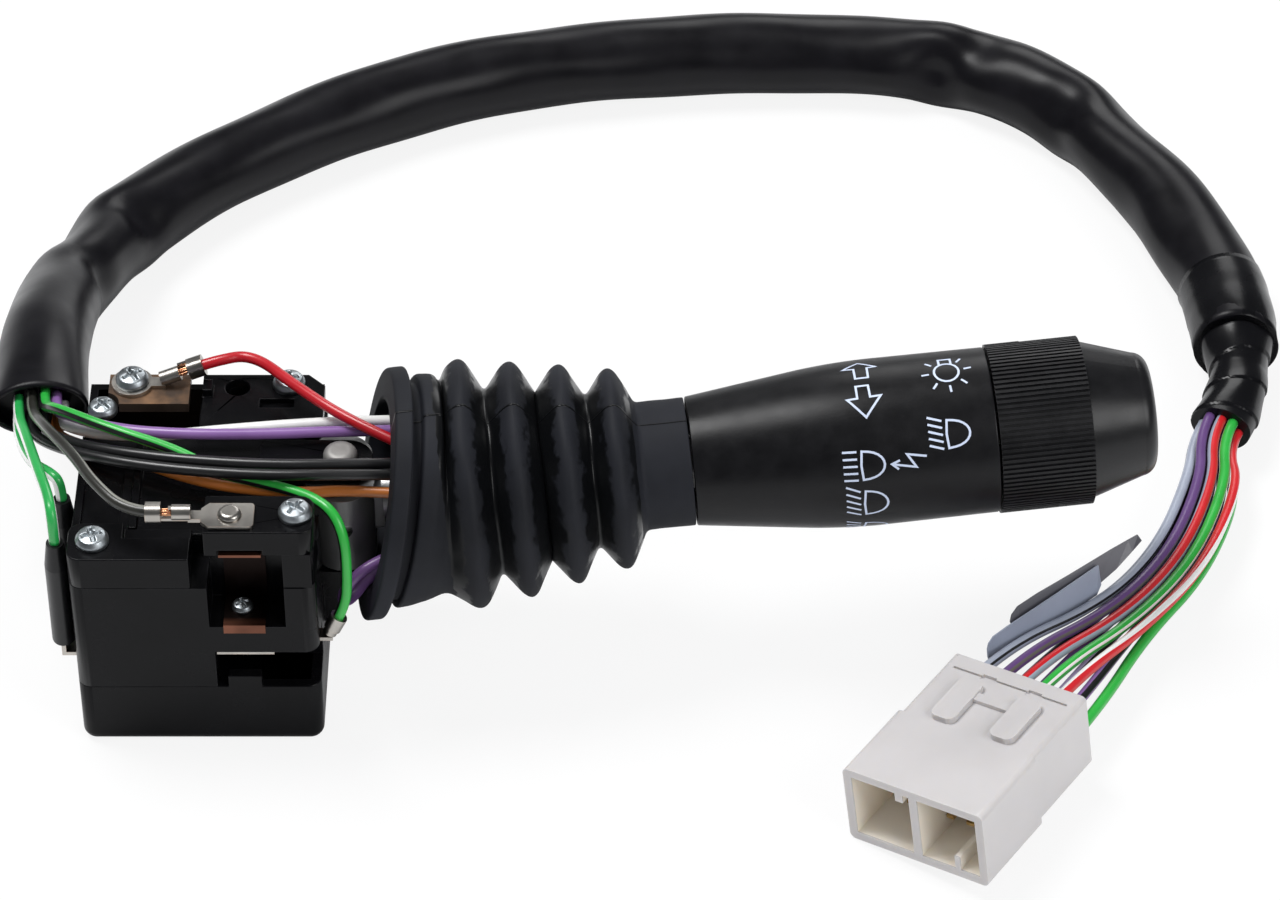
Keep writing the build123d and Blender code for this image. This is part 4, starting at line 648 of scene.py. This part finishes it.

# Connector: an off-white nylon housing that lets some light into its walls; inside its two bays it is painted brighter
# and warmer, as painted light glowing through the walls.
# It is one moulding with eased edges, and its pins are pushed in from the wires' side.
nylon_with_painted_bay_light = finish("off_white_nylon_painted_bay_light", (0.55, 0.53, 0.53), 0.36, grain=420, bump=0.05, tint=0.05, rough_span=0.06)
BAY_CENTRE, BAY_HALF_LONG, BAYS_HALF_WIDE, BAY_HALF_HIGH = -10.0, 8.4, 13.35, 6.75
tree = nylon_with_painted_bay_light.node_tree
place = tree.nodes.new("ShaderNodeTexCoord")
inside = 1.0
for way, centre, half in (
    (plug_x, BAY_CENTRE, BAY_HALF_LONG), (plug_y, 0.0, BAYS_HALF_WIDE), (plug_z, 0.0, BAY_HALF_HIGH),
):
    reach = tree.nodes.new("ShaderNodeVectorMath")
    reach.operation = "DOT_PRODUCT"
    reach.inputs[1].default_value = way
    tree.links.new(place.outputs["Object"], reach.inputs[0])
    off = maths(tree, "SUBTRACT", reach.outputs["Value"], MM * (plug_at.dot(way) + centre))
    within = maths(tree, "LESS_THAN", maths(tree, "ABSOLUTE", off), MM * half)
    inside = maths(tree, "MULTIPLY", inside, within)
# painted light: inside the two bays the nylon is coloured much brighter and warmer, standing in for light glowing
# through the walls
recolour(nylon_with_painted_bay_light, inside, (0.90, 0.84, 0.75))
shader = tree.nodes["Principled BSDF"]
shader.inputs["Subsurface Weight"].default_value = 0.35
shader.inputs["Subsurface Scale"].default_value = 0.002
shader.inputs["Subsurface Radius"].default_value = (1.0, 0.85, 0.65)
dress(nylon_with_painted_bay_light, "connector_housing", weld=True, edge=0.4)

# Screws: zinc-plated pan heads with a cross recess, driven through the covers into the case.
# Plating is greyed, with brighter metal on the rim and in the recess.
zinc = finish("zinc_plate", (0.34, 0.37, 0.39), 0.38, metal=1.0, grain=1300, bump=0.25, tint=0.3,
              worn=(0.62, 0.62, 0.60), rough_span=0.12)


def pan_head(x, y, z, radius, height, shank, depth, turn):
    """One screw as verts and faces: a domed head with its cross sunk in, and a plain shank."""
    sides, verts, faces = 72, [], []
    rings = [0.0] + [radius * (n / 20) ** 0.85 for n in range(1, 21)]
    for n, r in enumerate(rings):
        for j in range(sides):
            a = 2 * math.pi * j / sides
            dome = height * (1 - 0.34 * (r / radius) ** 2 - 0.30 * max(0, r / radius - 0.82) / 0.18 * (r / radius))
            u, v = r * math.cos(a), r * math.sin(a)
            narrow = min(abs(u), abs(v)) / (radius * 0.115)
            reach = max(abs(u), abs(v)) / (radius * 0.58)
            inside = max(0.0, min(1.0, (1.25 - narrow) / 0.5)) * max(0.0, min(1.0, (1.12 - reach) / 0.25))
            core = max(0.0, min(1.0, (1.5 - r / (radius * 0.2)) / 0.8))
            dome -= height * 0.38 * max(inside, core * 0.9)
            verts.append((x + r * math.cos(a + turn), y + r * math.sin(a + turn), z + dome))
    for r, drop in ((radius, 0.02), (shank, 0.02), (shank, -depth)):
        angles = [2 * math.pi * j / sides + turn for j in range(sides)]
        verts += [(x + r * math.cos(a), y + r * math.sin(a), z + drop) for a in angles]
    for n in range(len(rings) + 2):
        for j in range(sides):
            k = (j + 1) % sides
            faces.append((n * sides + j, (n + 1) * sides + j, (n + 1) * sides + k, n * sides + k))
    faces.append(tuple(reversed(range(len(verts) - sides, len(verts)))))
    return [tuple(MM * c for c in v) for v in verts], faces


# radius and height of the head, radius of the shank
COVER_HEAD = (3.1, 2.2, 1.5)
for name, node, places in (
    ("cover_screw_heads", "cover_screws", (
        (-17.3, -21.1, 46.7, *COVER_HEAD, 7.2, 0.3), (20.0, -21.0, 53.4, *COVER_HEAD, 5.7, 1.0),
        (-13.3, 23.1, 46.8, *COVER_HEAD, 2.8, 0.6), (16.3, 23.0, 46.0, *COVER_HEAD, 2.0, 0.1),
    )),
    ("small_screw_heads", "small_screws", (
        (9.3, -21.4, 30.4, 2.0, 1.5, 1.0, 0.6, 0.4), (-18.6, 17.8, 44.0, 2.8, 2.2, 1.3, 0.01, 0.8),
    )),
):
    verts, faces = [], []
    for place in places:
        more, joins = pan_head(*place)
        faces += [tuple(i + len(verts) for i in face) for face in joins]
        verts += more
    heads = new_piece(name, verts, faces)
    heads.data.materials.append(zinc)
    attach(heads, "root")
    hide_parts(node)

# Pivot rivet: a steel rivet with a wide flat head, dull grey.
# It passes through the bridge into the carrier and is the top of the upright pivot.
rivet = finish("dull_rivet", (0.30, 0.29, 0.28), 0.55, metal=0.6, grain=700, bump=0.4, tint=0.3, worn=(0.3, 0.3, 0.29))
dress(rivet, "pivot_rivet", weld=True, edge=0.4)

# Bare copper strands: the stripped end of each wire where the two barrels of its terminal grip it.
# Six strands lie round one, and they swell a little between the barrels.
strand_copper = finish("bright_copper", (0.80, 0.40, 0.22), 0.28, metal=1.0, grain=2500, bump=0.1, tint=0.25)
BARE_LONG, STRAND_R, STRAND_OFF = 2.4, 0.19, 0.42
for name, start, way in (
    ("strands_rivet", Vector((-4.4, -22.0, 54.85)), Vector((1, 0, 0))),
    ("strands_ring", ring_at + ring_dir * 5.7, -ring_dir),
):
    side = way.cross(Vector((0, 0, 1))).normalized()
    rise = side.cross(way)
    for n in range(7):
        a = 2 * math.pi * n / 6
        off = (side * math.cos(a) + rise * math.sin(a)) * (STRAND_OFF if n < 6 else 0.0)
        line = []
        for t in range(7):
            swell = off * (1 + 0.35 * math.sin(math.pi * t / 6)) + side * 0.05 * math.sin(3 * t + n)
            line.append(MM * (start + way * (t * BARE_LONG / 6) + swell))
        strand = tube(f"{name}_{n}", line, STRAND_R * MM, 8)
        strand.data.materials.append(strand_copper)
        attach(strand, "root")

# Boot: a moulded black rubber bellows, matt, with a panel groove behind its flange; dust lies on its pleat crests, and
# its pleat valleys are painted darker and glossier as painted shade in the folds.
# It is pulled over the handle's neck and follows both pivots, and it is made in two halves.
PIVOT = Vector((27.0, 1.0, 37.3))
YAW, PITCH = math.radians(5.0), math.radians(3.6)
stalk = Vector((math.cos(YAW) * math.cos(PITCH), math.sin(YAW) * math.cos(PITCH), math.sin(PITCH)))
stalk_side = Vector((-math.sin(YAW), math.cos(YAW), 0))
stalk_up = stalk.cross(stalk_side)


def on_stalk(s, r, turn):
    """A point s along the stalk and r from its axis; turn runs from the rear side over the top."""
    return MM * (PIVOT + stalk * s + (stalk_side * math.cos(turn) + stalk_up * math.sin(turn)) * r)


def soften(corners, steps=5):
    """A profile of (s, r, ease): each corner is eased over that length by a short parabola."""
    out = []
    for k, (s, r, ease) in enumerate(corners):
        here = Vector((s, r))
        if not ease or k in (0, len(corners) - 1):
            out.append((s, r))
            continue
        before, after = Vector(corners[k - 1][:2]) - here, Vector(corners[k + 1][:2]) - here
        a = here + before.normalized() * min(ease, before.length * 0.49)
        b = here + after.normalized() * min(ease, after.length * 0.49)
        for n in range(steps + 1):
            t = n / steps
            out.append(tuple(a * (1 - t) ** 2 + here * 2 * t * (1 - t) + b * t * t))
    return out


def lathe(name, profile, sides, place=on_stalk):
    """A turned shape from a closed profile of (s, r)."""
    verts = [place(s, r, 2 * math.pi * j / sides) for s, r in profile for j in range(sides)]
    faces = []
    for k in range(len(profile)):
        low, high = k * sides, (k + 1) % len(profile) * sides
        for j in range(sides):
            n = (j + 1) % sides
            faces.append((low + j, low + n, high + n, high + j))
    piece = new_piece(name, verts, faces)
    piece.data.validate()
    return piece


LEAN = math.tan(math.radians(14.2))


def on_boot(s, r, turn):
    """The boot's surface: the flange and the collar lean with the panel, the pleats wander a little."""
    lean = 1.0 if s < 14 else max(0.0, 1 - (s - 14) / 8.0)
    lean = lean * lean * (3 - 2 * lean)
    wave = noise.noise(Vector((s * 0.35, 2.2 * math.cos(turn), 2.2 * math.sin(turn))))
    loose = 0.30 if 16 < s < 55 and r > 12.5 else 0.08
    return on_stalk(s + r * math.sin(turn) * LEAN * lean + 0.6 * loose * wave, r + loose * wave, turn)


front_skin = [
    (6.1, 17.6, 0), (6.1, 23.3, 0.7), (9.4, 23.3, 0.6), (9.6, 19.8, 0.5), (11.5, 19.8, 0.4), (11.6, 21.6, 0.8),
    (14.6, 21.4, 1.0), (18.8, 19.6, 1.1), (22.8, 23.4, 1.9), (24.8, 23.4, 1.9), (28.3, 17.0, 1.2), (32.2, 22.0, 1.9),
    (34.2, 22.0, 1.9), (37.7, 15.8, 0),
]
front_lining = [(37.7, 14.4, 0), (33.2, 19.6, 1.5), (28.3, 15.9, 1.5), (23.8, 20.2, 1.5), (16.5, 17.6, 0.6)]
rear_skin = [
    (37.7, 15.8, 0), (41.4, 20.5, 1.9), (43.4, 20.5, 1.9), (46.9, 14.0, 1.2), (50.6, 18.8, 1.9), (52.6, 18.8, 1.9),
    (55.9, 12.0, 0.8), (65.1, 12.0, 0.3), (65.1, 10.3, 0),
]
rear_lining = [(55.9, 10.3, 0.5), (51.6, 15.6, 1.5), (46.9, 12.8, 1.2), (42.4, 18.2, 1.5), (37.7, 14.4, 0)]


def divide(profile, step=0.8):
    """The same profile with points no further apart than step."""
    out = []
    for a, b in zip(profile, profile[1:]):
        count = max(1, round(math.dist(a, b) / step))
        out += [(a[0] + (b[0] - a[0]) * n / count, a[1] + (b[1] - a[1]) * n / count) for n in range(count)]
    return out + [profile[-1]]


rubber = finish("boot_rubber", (0.0108, 0.0118, 0.0160), 0.62, gleam=0.22, grain=420, bump=0.22, tint=0.35,
                rough_span=0.10)
tree = rubber.node_tree
shader = tree.nodes["Principled BSDF"]
shade_of = tree.nodes.new("ShaderNodeAttribute")
shade_of.attribute_name = "crest_dust_fold_shade"
# painted shade: low in the pleat valleys the rubber blends to a darker, glossier black; the crests, the collar and the
# flange keep the lighter dusty colour
patch = spread(tree, maths(tree, "ADD", shade_of.outputs["Fac"], cloud(tree, 230, 7, 0.65)), 0.93, 1.05, 0, 1)
base = shader.inputs["Base Color"]
tree.links.new(blend(tree, patch, (0.0035, 0.0038, 0.0045), base.links[0].from_socket), base)
tree.links.new(spread(tree, patch, 0, 1, 0.30, 0.68), shader.inputs["Roughness"])

FIRST_CREST, PLEAT_PITCH, BOOT_SIDES = 23.8, 9.35, 120
halves = []
for name, skin_of, lining in (("boot_front", front_skin, front_lining), ("boot_rear", rear_skin, rear_lining)):
    outline = divide(soften(skin_of)) + divide(soften(lining))
    half = lathe(name, outline, BOOT_SIDES, on_boot)
    crest_dust_fold_shade = half.data.attributes.new("crest_dust_fold_shade", "FLOAT", "POINT")
    values = []
    for v in half.data.vertices:
        off = Vector(v.co) / MM - PIVOT
        s = off.dot(stalk)
        # high on the crests, higher on the collar and the flange, low in the valleys, where the painted shade goes
        pleat = math.cos(2 * math.pi * (s - FIRST_CREST) / PLEAT_PITCH) if 19.0 < s < 55 else 1.0
        values.append(0.46 + 0.26 * pleat + (0.10 if s > 56 else 0.0) + (0.05 if s < 15 else 0.0))
    crest_dust_fold_shade.data.foreach_set("value", values)
    half.data.materials.append(rubber)
    halves.append(half)
front_half, rear_half = halves
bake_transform(front_half)
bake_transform(rear_half)
for half in halves:
    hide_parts("boot")

# Boot seam: the thin line that the two halves of the mould left along the top of every pleat.
# It is part of the rubber and follows the pleats just proud of them.
SEAM_AT, SEAM_TURN = math.radians(99), 0.022
for name, skin_of, ends, bend in (
    ("seam_front", front_skin, ("root", "carrier"), (17.0, 36.5)),
    ("seam_rear", rear_skin[:-1], ("carrier", "lever"), (38.5, 55.0)),
):
    ridge = [p for p in divide(soften(skin_of), 0.5) if p[1] > 11]
    verts, faces = [], []
    for s, r in ridge:
        for swing, lift in ((-0.6, -0.05), (-0.28, 0.10), (0.28, 0.10), (0.6, -0.05)):
            verts.append(on_boot(s, r + lift, SEAM_AT + swing * SEAM_TURN))
    for k in range(len(ridge) - 1):
        faces += [(4 * k + j, 4 * k + j + 1, 4 * k + j + 5, 4 * k + j + 4) for j in range(3)]
    seam = new_piece(name, verts, faces)
    seam.data.materials.append(rubber)
    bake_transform(seam)

# Stalk handle: satin black moulding with a fine spark texture, flared towards the knob.
# Thin light signs are printed on its top and front, as outlines of arrows and lamps.
satin = finish("handle_satin", (0.0050, 0.0050, 0.0060), 0.36, grain=2600, bump=0.16, tint=0.2, rough_span=0.05,
               dust=0.06, dust_colour=(0.04, 0.04, 0.04), depth=0.0001, gleam=0.21)
HANDLE_START, HANDLE_END, HANDLE_END_R, HANDLE_SIDES = 65.4, 121.75, 15.5, 160
handle_outline = soften([
    (HANDLE_START, 10.2, 0), (HANDLE_START, 12.1, 0.25), (93.0, 15.66, 8.0), (HANDLE_END, HANDLE_END_R, 0.35),
    (HANDLE_END, 13.4, 0),
], 10)
handle_wall = divide(handle_outline, 1.2) + [(88.0, 12.8), (85.0, 7.0), (66.0, 7.0)]
shell = lathe("handle_shell", handle_wall, HANDLE_SIDES)
shell.data.materials.append(satin)
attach(shell, "lever")
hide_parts("handle")
ink = finish("sign_ink", (0.55, 0.62, 0.78), 0.5, grain=1500, bump=0.02, tint=0.06)


def handle_radius(s):
    """The handle's radius at s, from its outline."""
    for (s0, r0), (s1, r1) in zip(handle_outline[2:], handle_outline[3:]):
        if s0 <= s <= s1:
            return r0 + (r1 - r0) * (s - s0) / (s1 - s0)
    return HANDLE_END_R


SIGN_R, INK_LIFT, LINE_WIDE = 15.6, 0.05, 0.42


def on_handle(u, v, lift):
    """A printed point: u along the stalk, v round it from the top towards the front."""
    return on_stalk(u, handle_radius(u) + lift, math.radians(90) + v / SIGN_R)


def stroke(points, closed=False):
    """One printed line through points of (u, v), as verts and faces for the sheet of signs."""
    path = []
    pairs = list(zip(points, points[1:])) + ([(points[-1], points[0])] if closed else [])
    for a, b in pairs:
        count = max(1, round(math.dist(a, b) / 0.7))
        path += [Vector(a).lerp(Vector(b), n / count) for n in range(count)]
    if not closed:
        path.append(Vector(points[-1]))
    total, verts = len(path), []
    for k, here in enumerate(path):
        before = path[k - 1] if closed or k else here - (path[1] - here)
        after = path[(k + 1) % total] if closed or k < total - 1 else here + (here - path[k - 1])
        a, b = (here - before).normalized(), (after - here).normalized()
        na, nb = Vector((-a.y, a.x)), Vector((-b.y, b.x))
        mid = na + nb
        mid = mid.normalized() if mid.length > 0.2 else na
        off = mid * (LINE_WIDE / 2 / max(0.45, mid.dot(na)))
        for place in (here + off, here - off):
            verts.append(on_handle(place.x, place.y, INK_LIFT))
    joins = [(k, (k + 1) % total) for k in range(total if closed else total - 1)]
    return verts, [(2 * k, 2 * k + 1, 2 * n + 1, 2 * n) for k, n in joins]


def lamp_sign(u, v, size, rise):
    """A headlamp: a half-round glass and five beams; rise slants the beams."""
    glass = [(u, v - size), (u - 0.25, v), (u, v + size)]
    for k in range(1, 12):
        turn = math.pi / 2 - math.pi * k / 12
        glass.append((u + 4.1 * math.cos(turn) ** 0.9, v + size * math.sin(turn) * 0.98))
    lines = [(glass, True)]
    for k in range(5):
        at = v + size * (k - 2) / 2
        lines.append(([(u - 3.6, at + rise), (u - 0.95, at - 0.1 * rise)], False))
    return lines


BULB_U, BULB_V = 113.8, 0.1
signs = [
    ([(97.9, -6.3), (101.0, -4.0), (99.4, -3.8), (99.3, -0.6), (96.9, -0.6), (96.9, -3.8), (94.9, -4.0)], True),
    ([(96.7, 1.5), (99.0, 1.5), (99.1, 4.2), (101.1, 4.1), (97.9, 8.3), (94.8, 4.4), (96.7, 4.3)], True),
    ([(BULB_U + 2.3 * math.cos(math.radians(a)), BULB_V + 2.4 * math.sin(math.radians(a)))
      for a in range(0, 360, 20)], True),
    ([(112.7, -2.2), (112.7, -3.9), (114.9, -3.9), (114.9, -2.2)], False),
    ([(101.7, 17.5), (106.2, 18.5), (104.6, 15.9), (108.2, 16.6)], False),
    ([(103.2, 16.9), (101.7, 17.5), (102.9, 18.6)], False),
]
for a in (-50, -7, 42, 86, 128, 175, 219):
    u, v = math.cos(math.radians(a)), math.sin(math.radians(a))
    signs.append(([(BULB_U + 3.3 * u, BULB_V + 3.4 * v), (BULB_U + 4.7 * u, BULB_V + 4.9 * v)], False))
for lamp in ((112.5, 13.0, 2.6, -0.8), (96.3, 17.3, 2.75, -0.1), (96.5, 25.6, 3.1, -1.1), (96.5, 35.6, 3.1, -1.1)):
    signs += lamp_sign(*lamp)
verts, faces = [], []
for points, closed in signs:
    more, joins = stroke(points, closed)
    faces += [tuple(i + len(verts) for i in face) for face in joins]
    verts += more
printed = new_piece("handle_signs", verts, faces)
printed.data.materials.append(ink)
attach(printed, "lever")

# Knob: a knurled black ring with a smooth lug, and the plain cap that turns with it.
# Both are mouldings; the ring's ribs are worn a little paler than its grooves.
ribbed = finish("knob_plastic", (0.0045, 0.0045, 0.0055), 0.42, gleam=0.28, grain=1500, bump=0.12, tint=0.2,
                worn=(0.022, 0.022, 0.025), edge=0.0003, rough_span=0.06, dust=0.05, dust_colour=(0.04, 0.04, 0.04))
dress(ribbed, "knob_ring")
plain_cap = finish("cap_satin", (0.0060, 0.0060, 0.0070), 0.34, gleam=0.32, grain=1800, bump=0.10, tint=0.2,
                   rough_span=0.05, dust=0.06, dust_colour=(0.04, 0.04, 0.04))
dress(plain_cap, "end_cap")
